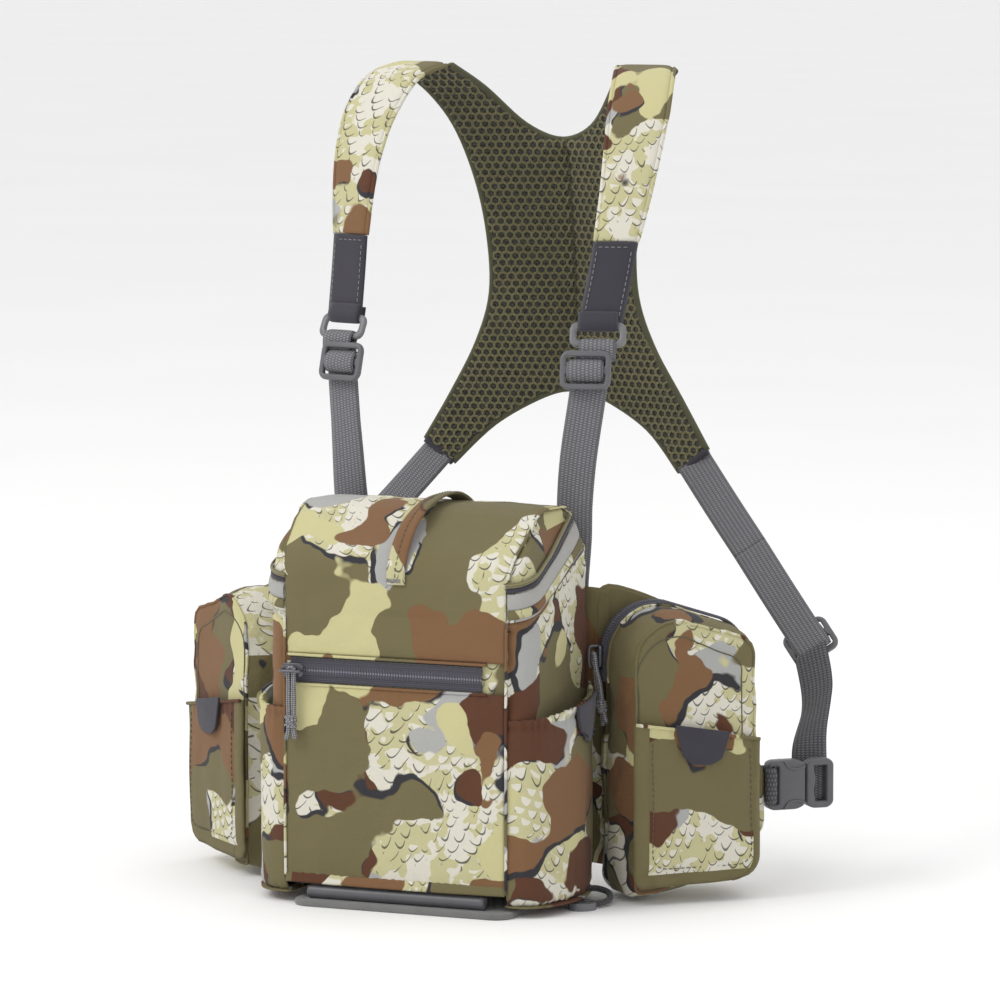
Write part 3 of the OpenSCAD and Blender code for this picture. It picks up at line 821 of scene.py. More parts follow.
def pull(name, eye, out, down, body, node, flip):
    """A zip pull: a cord folded over the slider's bail, a knot and two tails. out points
    away from the slider, down along the cord."""
    eye, out, down = np.array(eye, float), unit(out), unit(down)
    side = np.cross(out, down)

    def at(across, along, proud):
        return eye + side * across + down * along + out * proud

    strands, wraps = [], []
    for number, way in ((1, 1), (2, -1)):
        line = [at(way * 1.6, -0.1, 0)]
        if way == 1:
            line = [eye + (side * math.cos(a) - down * math.sin(a)) * 1.6
                    for a in np.linspace(math.pi * 0.96, 0, 9)]
        tail = spline([at(way * a, b, way * c) for a, b, c in (
            (1.6, 0, 0), (1.5, 7, 0.3), (1.4, 15, -0.3), (1.36, 24, 0), (1.36, 28.5, 0),
            (1.5, 32, 0), (2.0 + 0.3 * number, 35.4 + 0.6 * number, 0))], 5)
        line = np.array(line + list(tail[1:]))
        total = lengths(line)[-1]
        line = resample(line, 34)
        strand = tube(f"{name}_cord_{number}", line, CORD_R, CORD, None, sides=12, flip=flip,
                      slot="cord")
        strands.append((strand, line * MIRROR[flip] * MM, total * MM))
    for drop, lean, radius in ((24.6, 0.30, 1.65), (26.8, -0.25, 1.8), (28.9, 0.28, 1.6)):
        ring = [at(radius * 1.05 * math.cos(a), drop + lean * 1.6 * math.cos(a),
                   radius * math.sin(a) * 0.85) for a in np.linspace(0, TURN, 25)[:-1]]
        wraps.append(tube("wrap", ring, CORD_R * 1.02, CORD, None, closed=True, flip=flip))
    cross = spline([at(-2.4, 24, 1.3), at(0, 26.6, 2.0), at(2.3, 29.4, 1.2)], 6)
    wraps.append(tube("wrap", cross, CORD_R * 0.95, CORD, None, flip=flip))
    knot = join(f"{name}_knot", wraps, body)
    for number, (strand, world, total) in enumerate(strands):
        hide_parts(node)
        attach(strand, body)
        [knot] if number == 0 else ()


pull("front_pull", (-56.5, -52.3, 124.5), (0, -1, 0), (0, 0, -1), "front_pull",
     "front_zip_pull", False)
lean_y, lean_x = math.radians(16), math.radians(4)
PULL_DOWN = wing_way(math.sin(lean_x), -math.sin(lean_y) * math.cos(lean_x),
                     -math.cos(lean_y) * math.cos(lean_x))
DISC_LOOP = resample(spline([
    (84, 12, 7.5), (89, 17, 7.0), (95.5, 16.5, 5.2), (98.6, 8, 3.2), (96.5, 0.5, 2.6),
    (92.5, -4.5, 2.6), (89.5, -6, 3.0)], 6), 36) * MM
LOOP_TILT, LOOP_R = 0.21, 8
for label, mirrored in SIDES:
    pull(f"{label}_pull", wing([-3.4, -14, 128]), wing_way(-1, 0, 0), PULL_DOWN,
         f"{label}_pull", f"{label}_pouch_pull", mirrored)
disc_cord = tube("disc_loop", DISC_LOOP / MM, 1.7, CORD_DARK, "pack")
float(lengths(DISC_LOOP)[-1])
for label, mirrored in SIDES:
    ring = [(59 + LOOP_R * math.cos(a) * math.cos(LOOP_TILT), -34 + LOOP_R * math.sin(a),
             7 - LOOP_R * math.cos(a) * math.sin(LOOP_TILT)) for a in np.linspace(-1.32, 1.32, 24)]
    tube(f"{label}_base_loop", ring, 1.5, CORD, "pack", flip=mirrored,
         nodes=() if mirrored else ("base_cords",))

# ---------------------------------------------------------------- main pouch


def around(inset=0.0, count=152):
    """The pouch's rounded outline: points and outward normals, seen from above."""
    outline = rounded(POUCH_W - 2 * inset, POUCH_D - 2 * inset, POUCH_R - inset, steps=10)
    pts = resample(outline, count, closed=True)
    ahead = np.roll(pts, -1, 0) - np.roll(pts, 1, 0)
    n = np.stack([ahead[:, 1], -ahead[:, 0]], 1)
    return pts, n / np.linalg.norm(n, axis=1, keepdims=True)


def edge_z(y):
    """The height of the lid's lower edge."""
    return 155 + (y + 46) * SLOPE


OUT, OUT_N = around()
COUNT = len(OUT)
EDGE_Z = edge_z(OUT[:, 1])


def ring_at(scale, inset, z):
    return np.column_stack([OUT * scale - OUT_N * inset, np.broadcast_to(z, COUNT)])


# rows from the bottom's middle up the outside, over the rim and down inside
rings = np.array(
    [ring_at(share, 0, 12.2) for share in (0.02, 0.35, 0.7, 0.9)]
    + [ring_at(1, inset, z) for inset, z in ((3.2, 11.6), (1.2, 12.8), (0.3, 15.0))]
    + [ring_at(1, 0, 15 + (EDGE_Z - 0.4 - 15) * share) for share in np.linspace(0.03, 1, 58)]
    + [ring_at(1, inset, EDGE_Z - 0.4 - drop)
       for inset, drop in ((0.7, -0.05), (1.5, -0.05), (2.4, 0.1), (3.0, 0.9))]
    + [ring_at(1, 3, z) for z in (150, 60, 17)] + [ring_at(0.5, 0, 14.1), ring_at(0.02, 0, 14.1)])
normal = np.concatenate([OUT_N, np.zeros((COUNT, 1))], 1)
for i in range(5, 66):
    p = rings[i]
    height = p[:, 2]
    fold = crumple(p * [1, 1, 1.6], 24, 1) * 1.5 + crumple(p * [1, 1, 2.5], 9, 2) * 0.35
    pucker = np.sin(np.arange(COUNT) * 1.55) * 0.5 * np.clip((22 - height) / 10, 0, 1)
    crease = 1.3 * bell(height - (edge_z(p[:, 1]) - 5), 1.6)
    seam = 0.9 * bell(np.abs(p[:, 0]) - SEAM_X, 1.0) * (np.abs(p[:, 1]) > 45)
    rings[i] = p - normal * (0.85 + np.clip(fold, -0.8, 1.2) + pucker + crease + seam)[:, None]


def body_panels(c):
    if c[1] < -44 and abs(c[0]) < SEAM_X:
        return panel(1)
    return panel(3) if c[0] > 0 else panel(5)


last = (len(rings) - 1) * COUNT
faces = quads(len(rings), COUNT, close_columns=True)
faces += [tuple(range(COUNT)), tuple(last + k for k in reversed(range(COUNT)))]
shell = piece("body_shell_cloth", rings, faces, CAMO, "pack", nodes=("body_shell",))
tidy_normals(shell)
dress(shell.data, body_panels)

pts, _ = around(3.2)
rim_z = edge_z(pts[:, 1])
rows = [np.column_stack([pts, z]) for z in [rim_z - 4.2] + [
    np.minimum(z, rim_z - 8) for z in (150, 120, 90, 60, 30, 18)]]
rows += [np.column_stack([pts * share, np.full(COUNT, z)])
         for share, z in ((1 - 1.5 / 80, 16.6), (0.5, 16.4), (0.02, 16.4))]
lining = piece("body_lining", np.array(rows), quads(len(rows), COUNT, close_columns=True), LINING,
               "pack", nodes=("body_liner", "base_board"))
modify(lining, "SOLIDIFY", thickness=0.0012, offset=0)


def magnets(name, z, low, high, body):
    """The pair of magnets that hold the lid's rear edge, in the pouch or on the lid."""
    for number, x in enumerate((-34, 34)):
        plate(f"{name}_{number}", rounded(12, 12, 5.99, x, z, 8), low, high, 0.3, facing(),
              MAGNET, body, nodes=(name + "s",) if number else ())


magnets("body_magnet", 176, -41.2, -39.2, "pack")
pad = plate("back_pad_cushion", rounded(98, 138, 11, 0, 90), -51.4, -46.8, 1.6, facing(), MESH,
            None, slot="spacer_mesh", nodes=("back_pad",))
puff(pad, lambda p: p[1] < 47.4 or abs(p[0]) > 46 or abs(p[2] - 90) > 66, 1.4, 2.6)
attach(pad, "pack")
rim = resample([(x, 49.0, z) for x, z in rounded(99, 139, 11.5, 0, 90)], 150, closed=True)
tube("back_pad_binding", rim, 1.5, CHARCOAL, "pack", closed=True)

# ---------------------------------------------------------------- front pocket and zips

grid = np.zeros((60, 72, 3))
for i, v in enumerate(np.linspace(0, 1, 60)):
    for j, u in enumerate(np.linspace(-1, 1, 72)):
        x, z = 61.6 * u, 14.5 + 102.6 * v
        crown = (1 - abs(u) ** 7) * (1 - abs(2 * v - 1) ** 7)
        fold = lump(x / 26, z / 34, 3.1) * 1.7 + lump(x / 10, z / 15, 7.7) * 0.5
        pucker = 0.35 * math.sin(x * 1.25 + math.sin(x * 0.21) * 2) * max(0, 1 - v * 9)
        pucker += 0.25 * math.sin(x) * max(0, 1 - (1 - v) * 12)
        grid[i, j] = (x, -46.7 - crown * max(0.2, 1.4 + 0.8 * fold) - pucker - 0.2, z)
sheet_piece("front_pocket_panel", grid, 1.2, CAMO, "pack", (0, -1, 0), shift=panel(2.37),
            nodes=("front_pocket",))


def seam_tube(name, line, radius, body, flip, cut):
    seam = tube(name, line, radius, CAMO, body, flip=flip)
    dress(seam.data, panel(cut))


for label, mirrored in SIDES:
    line = spline([(62.4, -46.9, 14), (62.6, -47.1, 50), (62.4, -47.0, 90), (62.6, -46.8, 152)], 12)
    seam_tube(f"{label}_front_seam", line, 0.8, "pack", mirrored, 5 if mirrored else 3)
edge = spline([(-62, -46.9, 14.3), (-30, -47.6, 14.0), (0, -47.7, 13.9), (30, -47.6, 14.0),
               (62, -46.9, 14.3)], 14)
band("bottom_binding", edge, (0, 0.25, 1.0), 5.5, 1.6, CAMO, "pack", ripple=0.25,
     shift=panel(7.7))
TAPE_HALF, COIL_HALF = 7.0, 2.9


def zip_strip(name, path, out, body, lift=0.0, **more):
    """A closed reverse-coil zip along a path: woven tape, raised coil and its centre line."""
    path = np.asarray(path, float)
    run = lengths(path)
    count = int(run[-1] / 0.8)
    line = resample(path, count)
    ahead = np.gradient(line, axis=0)
    ways = at_run(np.linspace(0, 1, count), run / run[-1], per_row(out, len(path)))
    stations = np.concatenate([
        np.linspace(-TAPE_HALF, -COIL_HALF, 4), np.linspace(-COIL_HALF + 0.3, COIL_HALF - 0.3, 13),
        np.linspace(COIL_HALF, TAPE_HALF, 4)])
    grid, weave = np.zeros((count, len(stations), 3)), []
    for i in range(count):
        side = unit(np.cross(unit(ahead[i]), unit(ways[i])))
        for j, s in enumerate(stations):
            inner = max(0.0, 1 - (abs(s) / COIL_HALF) ** 6) if abs(s) < COIL_HALF else 0.0
            tooth = 0.16 * math.cos(i * math.pi) * (abs(s) > 0.5)
            top = lift + 0.55 + inner * (0.95 + tooth - 0.45 * bell(s, 0.35))
            grid[i, j] = line[i] + side * s + unit(ways[i]) * top
            weave.append((i * run[-1] / count, s, 0))
    sheet_piece(name, grid, 0.5, ZIP, body, ways[count // 2], weave=weave, **more)


zip_strip("front_zip_cloth", [(-59, -46.3, 124.5), (49, -46.3, 124.5)], (0, -1, 0), "pack",
          nodes=("front_zip_tape", "front_zip_coil"))
for number, (stitch_z, fold_z, cut) in enumerate(((118.2, 116.9, 2.37), (130.8, 132.4, 11.3))):
    stitches(f"front_zip_stitches_{number}",
             [(x, -47.15, stitch_z) for x in np.linspace(-58, 48, 60)], (0, -1, 0), "pack", 2.2,
             1.2, 0.2, THREAD_DARK, slot="zip")
    tube(f"front_zip_fold_{number}", [(x, -47.2, fold_z) for x in np.linspace(-61, 52, 60)], 0.8,
         CAMO, "pack", shift=panel(cut))


def slider(name, place, body, node, flip):
    """A zip slider in its own frame: u along the zip, v across, w away from the cloth."""
    bail = spline([(-5.4, 0, 1.4), (-5.5, 0, 4.6), (-4.3, 0, 6.1), (4.3, 0, 6.1), (5.5, 0, 4.6),
                   (5.4, 0, 1.4)], 5)
    join(name, [
        plate("base", rounded(12, 7.4, 2.4), 0.2, 1.9, 0.5, place, STEEL, None, flip=flip),
        tube("bail", place(bail), 0.75, STEEL, None, flip=flip),
        plate("nose", rounded(3.4, 4.8, 1.2, -3.2), 1.2, 2.2, 0.4, place, STEEL, None,
              flip=flip)], body, (node,))


def upright(p):
    """A side pouch's slider to the frame: u up, v back, w inward."""
    return wing(np.stack([0.2 - p[:, 2], -14 + p[:, 1], 128 + p[:, 0]], 1))


slider("front_slider_metal", facing(-56.5, -48.7, 124.5), "front_slider", "front_zip_slider",
       False)
for label, mirrored in SIDES:
    slider(f"{label}_slider_metal", upright, f"{label}_slider", f"{label}_pouch_slider",
           mirrored)

# ---------------------------------------------------------------- lid

CORNER_Y, CORNER_R = 32, 14     # where the lid's sides begin to turn toward the front and back


def lean(z):
    """How far the lid's side walls lean in at a height."""
    return float(np.interp(z, [100, 168, 186, 202, 230], [0, 0, 3, 9, 14]))


def plan_half(y):
    over = abs(y) - CORNER_Y
    bend = CORNER_R - math.sqrt(max(0, CORNER_R ** 2 - over * over)) if over > 0 else 0
    return POUCH_W / 2 - bend


# the lid's outline from the side, as (y, z)
PROFILE = np.array([(FRONT_Y, 155), (FRONT_Y, 174)] + arc(-26, 174, 20, 180, 118, 6)[1:]
                   + arc(0, 169, 40, 112, 84, 4) + arc(18, 180.5, 28, 78, 0, 9))


def lid_top(y):
    return float(np.interp(y, PROFILE[2:, 0], PROFILE[2:, 1]))


def lid_side(y, z, out=0.0):
    """A point on the right side of the lid, out mm proud of it."""
    if y >= -CORNER_Y:
        return np.array([plan_half(y) - lean(z) + out, y, z])
    turn = math.acos(min(1, max(-1, (-CORNER_Y - y) / CORNER_R)))
    return np.array([plan_half(y) - lean(z) + out * math.sin(turn), y - out * math.cos(turn), z])


WALL, TOP = 12, 56              # points up one side wall, and across the top
RIB_Y = [*(-CORNER_Y - CORNER_R * np.sin(np.linspace(math.pi / 2, 0, 12))),
         *np.linspace(-30, 32, 26), *(CORNER_Y + CORNER_R * np.sin(np.linspace(0.08, 1.28, 10)))]


def lid_rib(y, inset):
    top, low = (174 if y <= -45.99 else lid_top(y)) - inset, edge_z(y)
    wall = [lid_side(y, z) - [inset, 0, 0] for z in np.linspace(low, max(low + 0.3, top), WALL)]
    across = [np.array([x, y, top]) for x in np.linspace(wall[-1][0], -wall[-1][0], TOP)[1:-1]]
    return wall + across + [p * [-1, 1, 1] for p in reversed(wall)]


ribs = np.array([lid_rib(y, 0.0) for y in RIB_Y])
first = ribs[0]
cap = [first[j] + (first[-1 - j] - first[j]) * k / (TOP - 1) for j in range(WALL)
       for k in range(TOP)]
base = ribs.shape[0] * ribs.shape[1]
faces = quads(*ribs.shape[:2]) + [tuple(base + k for k in reversed(f)) for f in quads(WALL, TOP)]
lid = piece("lid_cloth", list(ribs.reshape(-1, 3)) + cap, faces, [CAMO, LINING], None,
            "camo_fabric", nodes=("lid_shell",))
mesh = lid.data
work = bmesh.new()
work.from_mesh(mesh)
bmesh.ops.remove_doubles(work, verts=work.verts, dist=0.05 * MM)
bmesh.ops.recalc_face_normals(work, faces=work.faces)
for turn in range(5):
    bmesh.ops.smooth_vert(work, verts=[v for v in work.verts if not v.is_boundary], factor=0.35,
                          use_axis_x=True, use_axis_y=True, use_axis_z=True)
work.to_mesh(mesh)
work.free()
co, nv = read(mesh) / MM, read(mesh, "normal")
if nv[np.argmax(co[:, 2])][2] < 0:
    mesh.flip_normals()
    nv = -nv
low = co[:, 2] - edge_z(co[:, 1])
dent = 0.7 + crumple(co * [1, 1, 1.4], 27, 4) * 0.9 + crumple(co, 10, 5) * 0.22
dent = np.clip(dent, 0.1, 1.5) * np.clip(low / 3, 0.15, 1)


def seam_x(z):
    """Half the front panel's width, which grows toward the lid's ridge."""
    return SEAM_X + 5.5 * min(1, max(0, (z - 174) / 34))


groove = np.array([1.1 * bell(abs(p[0]) - seam_x(p[2]), 1.1) for p in co])
write(mesh, co - nv * (dent + groove * np.clip(low / 3, 0.0, 1))[:, None])


def lid_panels(c):
    if abs(c[0]) < seam_x(c[2]) and (c[1] < 12 or c[2] > 200):
        return panel(11.3)
    return panel(13) if c[0] > 0 else panel(15)


dress(mesh, lid_panels)
modify(lid, "SOLIDIFY", thickness=0.0026, offset=-1, material_offset=1, material_offset_rim=0)
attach(lid, "lid")
STRIP_Y = [*(-CORNER_Y - CORNER_R * np.sin(np.linspace(math.pi / 2, 0, 14))),
           *np.linspace(-30, 40, 36)]


def lid_strip(name, low, high, out, material, flip, roll, **more):
    """A strip that follows the lid's side from the front seam, rising toward the back."""
    grid, weave, run = [], [], 0.0
    for y in STRIP_Y:
        rise = (y + 46) * SLOPE
        if y > -45 and high + rise > lid_top(y) - 1.5:
            break
        column = [lid_side(max(y, -45.95), low + (high - low) * share + rise,
                           out + roll * math.sin(math.pi * share))
                  for share in np.linspace(0, 1, 7)]
        run += np.linalg.norm(column[0] - grid[-1][0]) if grid else 0
        weave += [(run, (high - low) * share, 0) for share in np.linspace(0, 1, 7)]
        grid.append(column)
    sheet_piece(name, np.array(grid), 0.6, material, "lid", (1, 0, 0), weave=weave, flip=flip,
                **more)


for label, mirrored in SIDES:
    seam = [(seam_x(z), y, z) for y, z in resample(PROFILE[1:18], 70) if z > 150]
    seam = [(min(x, plan_half(y) - lean(z) - 0.5), y, z) for x, y, z in seam]
    seam_tube(f"{label}_lid_seam", seam, 0.75, "lid", mirrored, 15 if mirrored else 13)
    for name, low, high, out, material, roll, cut in (
            ("light_band", 161.5, 169.6, 0.5, LIGHT_BAND, 0.5, 0),
            ("camo_band", 156.3, 161.2, 0.4, CAMO, 0.6, 21.4),
            ("upper_band", 170.2, 172.6, 0.3, CHARCOAL, 0.3, 0),
            ("piping", 172.8, 175.4, 0.5, ELASTIC, 0.9, 0)):
        lid_strip(f"{label}_lid_{name}", low, high, out, material, mirrored, roll,
                  shift=panel(cut))

# the stiffener inside the lid, with its tongue, and the magnets on it
rows = [[(x * 0.955, y, lid_top(y) - 4.4)
         for x in np.linspace(1, -1, 20) * lid_rib(y, 3.2)[WALL][0]]
        for y in RIB_Y if -40 < y < 40]
sheet_piece("lid_board_panel", np.array(rows), 1.4, BOARD, "lid", (0, 0, 1),
            nodes=("lid_board",))
plate("lid_tongue", rounded(92, 25, 4, 0, 184), -36.2, -34.9, 0.4, facing(), BOARD, "lid")
magnets("lid_magnet", 178, -38.6, -36.6, "lid")

LOOP = spline([(1, -47.4, 172), (1.2, -47.4, 180), (2.2, -42, 193), (3.6, -32, 204),
               (5.4, -16, 211.5), (7, 2, 214), (7, 20, 212), (7, 36, 205), (7, 43, 197.5),
               (7, 45.9, 190.5)], 6)
twist = [unit((math.cos(a), 0.25 * math.sin(a * 2), math.sin(a) * 0.6))
         for a in 0.28 * np.sin(np.linspace(0, math.pi, len(LOOP)))]
band("pull_loop_strip", LOOP, twist, 10.5, 1.9, CAMO, "lid", spacing=1.5, shift=panel(17.2),
     nodes=("lid_pull_loop",))
up = np.array([unit(np.cross(t, unit(s))) for t, s in zip(np.gradient(LOOP, axis=0), twist)])
if up[len(up) // 2][2] < 0:
    up = -up
stitches("pull_loop_stitches", (LOOP + up * 1.05)[3:-4], up[3:-4], "lid", 2.2, 1.0, 0.22,
         THREAD_DARK)
join("pull_loop_bartack", [
    stitches("tack", [(x, -48.5, 172.9), (x + 0.25, -48.5, 175.7)], (0, -1, 0), None, 2.4, 0.2,
             0.36) for x in (-3.6 + 0.9 * k for k in range(9))], "lid")

# the front panel runs in one piece from the zip, over the lid's fold, to the ridge
front_line = [(-46.0, z) for z in np.linspace(133.2, 174, 30)] + [
    (y, z) for y, z in resample(PROFILE[1:16], 46)[1:]]
rows = []
for k, (y, z) in enumerate(front_line):
    way = unit(np.subtract(front_line[min(k + 1, len(front_line) - 1)],
                           front_line[max(k - 1, 0)]))
    row = []
    for u in np.linspace(-1, 1, 74):
        x = u * (seam_x(z) - 0.3)
        fold = lump(x / 26, y / 30, z / 17) * 1.5 + lump(x / 9, y / 12, z / 8 + 4) * 0.4
        crease = 0.9 * bell(z - 155.5 - 0.8 * math.sin(x / 21), 1.3)
        crease *= 0.55 + 0.45 * math.sin(x / 17 + 1)
        lift = (1 - abs(u) ** 14) * max(0.05, 0.6 + 0.8 * fold) - 0.1 - crease * 0.7
        proud = 0.5 + lift * min(1, k / 3)
        row.append((x, y - way[1] * proud, z + way[0] * proud))
    rows.append(row)
hinge_cloth = sheet_piece("front_panel", np.array(rows), 0.8, CAMO, None, (0, -0.7, 0.7),
                          slot="camo_fabric", shift=panel(11.3))
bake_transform(hinge_cloth)

# ---------------------------------------------------------------- stretch pockets

ROUTE = spline([(62.5, -46.5, 0), (72, -45.5, 0), (81, -38, 0), (87.2, -24, 0), (90, -7, 0),
                (88.04, 9, 0), (84.4, 23, 0), (77, 37, 0)], 8)[:, :2]
POCKET_LOW = 5.2


def pocket_mouth(y):
    return 104 + 11 * (y + 46) / 92


def pocket_material(c):
    if 15.5 < c[1] < 23.5 and c[2] > 8:
        return 1
    return 2 if c[2] > pocket_mouth(c[1]) - 4.2 else 0


def side_pocket(label, flip):
    """A gathered pocket on the pouch's side, from under its foot to its hem."""
    line = resample(ROUTE, 84)
    ahead = np.gradient(line, axis=0)
    out = np.stack([ahead[:, 1], -ahead[:, 0]], 1)
    out /= np.linalg.norm(out, axis=1, keepdims=True)
    if out[40][0] < 0:
        out = -out
    run = lengths(line)
    rows, weave = [], []
    for share in (0.0, 0.012, 0.03, 0.055, *np.linspace(0.08, 0.93, 40), 0.95, 0.965, 0.98,
                  0.99, 1.0):
        row = []
        for (x, y), (out_x, out_y), s in zip(line, out, run):
            z = POCKET_LOW + (pocket_mouth(y) - POCKET_LOW) * share
            tuck = 5.5 * (1 - share / 0.055) ** 2 if share < 0.055 else 0.0
            held = min(1, s / 9, (run[-1] - s) / 9)
            fold, fine = lump(s / 15, z / 42, 2.5 + flip), lump(s / 6, z / 14, 9.5)
            gather = math.sin(s * 1.45 + 1.1 * math.sin(s * 0.37))
            near = math.exp(-(1 - share) * 13)
            depth = (0.9 + 1.0 * fold + 0.4 * fine) * held
            depth += gather * 0.75 * near * held + 1.1 * bell(share - 0.955, 0.012)
            depth += 0.6 * math.sin(s * 1.3) * max(0, 1 - share * 12)
            tuck += max(0, depth)
            row.append((x - out_x * tuck, y - out_y * tuck, z + 0.35 * gather * near))
            weave.append((z, s, 0))
        rows.append(row)
    sheet_piece(f"{label}_stretch_pocket", np.array(rows), 1.3, [CAMO, OLIVE, CAMO], "pack",
                (1, 0, 0), weave=weave, flip=flip, shift=panel(27.5 if flip else 24.2),
                choose=pocket_material, nodes=(f"{label}_side_pocket",))


def tab_point(share, u):
    """The dark tab on a stretch pocket: share down from its top, u across."""
    y = 0.5 + (15.6 - 4.6 * share ** 2.2 - 3.0 * max(0, share - 0.8) * 5 * abs(u)) * u
    top, bottom = 107 + 4 * (y + 16) / 33 + 0.8, 88.4 + 1.2 * abs(u) ** 3 * 3
    x = np.interp(y, ROUTE[24:, 1], ROUTE[24:, 0]) + 1.5 + 0.35 * math.sin(share * 3 + u * 2)
    return x, y, top + (bottom - top) * share


def pocket_floor(label, flip):
    outline = [(60, -45)] + [tuple(p) for p in resample(ROUTE, 30)] + [(60, 37)]
    centre, n = np.array([74.0, -4.0]), len(outline)
    inner = [np.array(p) + (centre - np.array(p)) * 0.04 for p in outline]
    points = ([(*centre, 5.6)] + [(x, y, 5.3) for x, y in inner] + [(x, y, 6.3) for x, y in inner]
              + [(*centre, 6.8)])
    pairs = [(1 + k, 1 + (k + 1) % n) for k in range(n)]
    faces = [(0, b, a) for a, b in pairs]
    faces += [(len(points) - 1, n + a, n + b) for a, b in pairs]
    faces += [(a, b, n + b, n + a) for a, b in pairs]
    tidy_normals(piece(f"{label}_pocket_floor", points, faces, CAMO, "pack", flip=flip,
                       shift=panel(31)))


for label, mirrored in SIDES:
    side_pocket(label, mirrored)
    tab = [[tab_point(share, u) for u in np.linspace(-1, 1, 16)]
           for share in np.linspace(0, 1, 14)]
    sheet_piece(f"{label}_pocket_tab", np.array(tab), 1.2, CHARCOAL, "pack", (1, 0, 0),
                flip=mirrored, slot="tab", nodes=() if mirrored else ("pocket_tabs",))
    pocket_floor(label, mirrored)

# ---------------------------------------------------------------- base

plate("base_pad_felt", rounded(123.4, 101.4, 10, 4, -3), 0.0, 3.2, 0.9, lambda p: p, FELT,
      "pack", nodes=("base_strap",))
tube_x = [-50, -49.4, -49.2, *np.linspace(-48, 48, 40), 49.2, 49.4, 50]
radii = [3.2, 3.6, *[3.7] * 42, 3.6, 3.2]
for number, y in enumerate((-44.5, 40)):
    tube(f"base_tube_{number}", [(x, y, 6.9) for x in tube_x], radii, PLASTIC_DARK, "pack",
         sides=28, nodes=("base_tube",) if number else ())

# ---------------------------------------------------------------- side pouches

POUCH = np.array(arc(30, 128, 28, 180, 80, 12) + arc(62, 128, 18, 74, 0, 8)
                 + arc(64, 26, 16, 0, -84, 6) + arc(11, 9, 9, -90, -180, 6))
POUCH_LOOP = resample(POUCH, 108, closed=True)
step = np.roll(POUCH_LOOP, -1, 0) - np.roll(POUCH_LOOP, 1, 0)
POUCH_OUT = np.stack([-step[:, 1], step[:, 0]], 1)
POUCH_OUT /= np.linalg.norm(POUCH_OUT, axis=1, keepdims=True)
POUCH_MID = np.array([41.0, 74.0])


def pouch_ring(inset, y, share=1.0):
    """The pouch's outline in wing coordinates, inset or drawn in toward its middle."""
    p = POUCH_MID + (POUCH_LOOP - POUCH_OUT * inset - POUCH_MID) * share if share != 1.0 else (
        POUCH_LOOP - POUCH_OUT * inset)
    return np.stack([p[:, 0], np.full(len(p), y), p[:, 1]], 1)


def pouch_half(label, flip, front, face_y, seam_y, rim_y, seam_inset):
    """A closed half of a side pouch: a crowned face, a gusset and the side at the zip."""
    rows = [pouch_ring(seam_inset, face_y + (seam_y - face_y) * share ** 4, share)
            for share in (0.02, 0.25, 0.5, 0.72, 0.88)]
    rows.append(pouch_ring(seam_inset, seam_y))
    for t in np.linspace(0.06, 1, 9):
        inset = seam_inset * ((1 - min(1, t * 1.9)) ** 1.6 if front else (1 - t) ** 2) + 1.1
        rows.append(pouch_ring(inset, seam_y + (rim_y - seam_y) * t))
    rows += [pouch_ring(0, rim_y, share) for share in (0.8, 0.4, 0.02)]
    n, last = len(POUCH_LOOP), (len(rows) - 1) * len(POUCH_LOOP)
    faces = quads(len(rows), n, close_columns=True)
    faces += [tuple(range(n)), tuple(last + k for k in range(n))]
    half = "front" if front else "back"
    obj = piece(f"{label}_pouch_{half}_cloth", wing(np.array(rows)), faces, CAMO, None,
                "camo_fabric", flip=flip, nodes=(f"{label}_pouch_{half}",))
    tidy_normals(obj)

    def pinned(p):
        x, y, z = from_wing(p)
        on_seam = abs(y - seam_y) < 2.4 and math.hypot(x - 41, (z - 74) / 2) > 28
        return on_seam or abs(y - rim_y) < 3

    puff(obj, pinned, 2.4 if front else 1.2, 3.4, 5.0, flip=flip)
    at, way = read(obj.data) / MM, read(obj.data, "normal")
    flat = at * MIRROR[flip]
    dent = crumple(flat * [1, 1, 0.8], 17, 11 + 3 * flip) * 1.7 + crumple(flat, 7, 14) * 0.45
    keep = np.where(from_wing(flat.T)[1] > -49.5, 1.1, 0.6)
    write(obj.data, at - way * (np.clip(dent, -0.9, 1.5) * keep + 0.2)[:, None])
    cut = PATTERN[flip]

    def cloth_of(c):
        _, y, z = from_wing(c * MIRROR[flip])
        return panel(cut) if y < -48.5 else panel(cut) + panel(1.7 if z < 120 else 2.9)

    dress(obj.data, cloth_of, flip)
    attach(obj, f"{label}_side_wing")
    return obj


# the zip runs over the pouch's top, from its inner side to its outer one
ZIP_XZ = np.array(sorted([(x, z) for x, z in resample(POUCH, 220, closed=True) if z >= 114.2],
                         key=lambda p: -math.atan2(p[1] - 100, p[0] - 41)))
zip_step = np.gradient(ZIP_XZ, axis=0)
ZIP_OUT = np.stack([-zip_step[:, 1], zip_step[:, 0]], 1)
ZIP_OUT /= np.linalg.norm(ZIP_OUT, axis=1, keepdims=True)
if np.dot(ZIP_OUT[len(ZIP_OUT) // 2], ZIP_XZ[len(ZIP_XZ) // 2] - POUCH_MID) < 0:
    ZIP_OUT = -ZIP_OUT


def slip_sides(z):
    """The slip pocket's left and right edges at a height."""
    left = 5.0 if z >= 16 else 13 - math.sqrt(max(0, 64 - (16 - z) ** 2))
    return left, 76.0 if z >= 24 else 64 + math.sqrt(max(0, 144 - (24 - z) ** 2))


def slip_wave(x):
    """The gathers of the slip pocket's mouth."""
    return math.sin(x * 0.95 + 1.3 * math.sin(x * 0.22))


def slip_material(p):
    x, _, z = from_wing(p)
    left, right = slip_sides(z)
    if x < left + 8.6 or x > right - 4 or z < 17.2:
        return 1
    return 2 if z > 97 - 11 * (x - 5) / 71 - 3.2 else 0


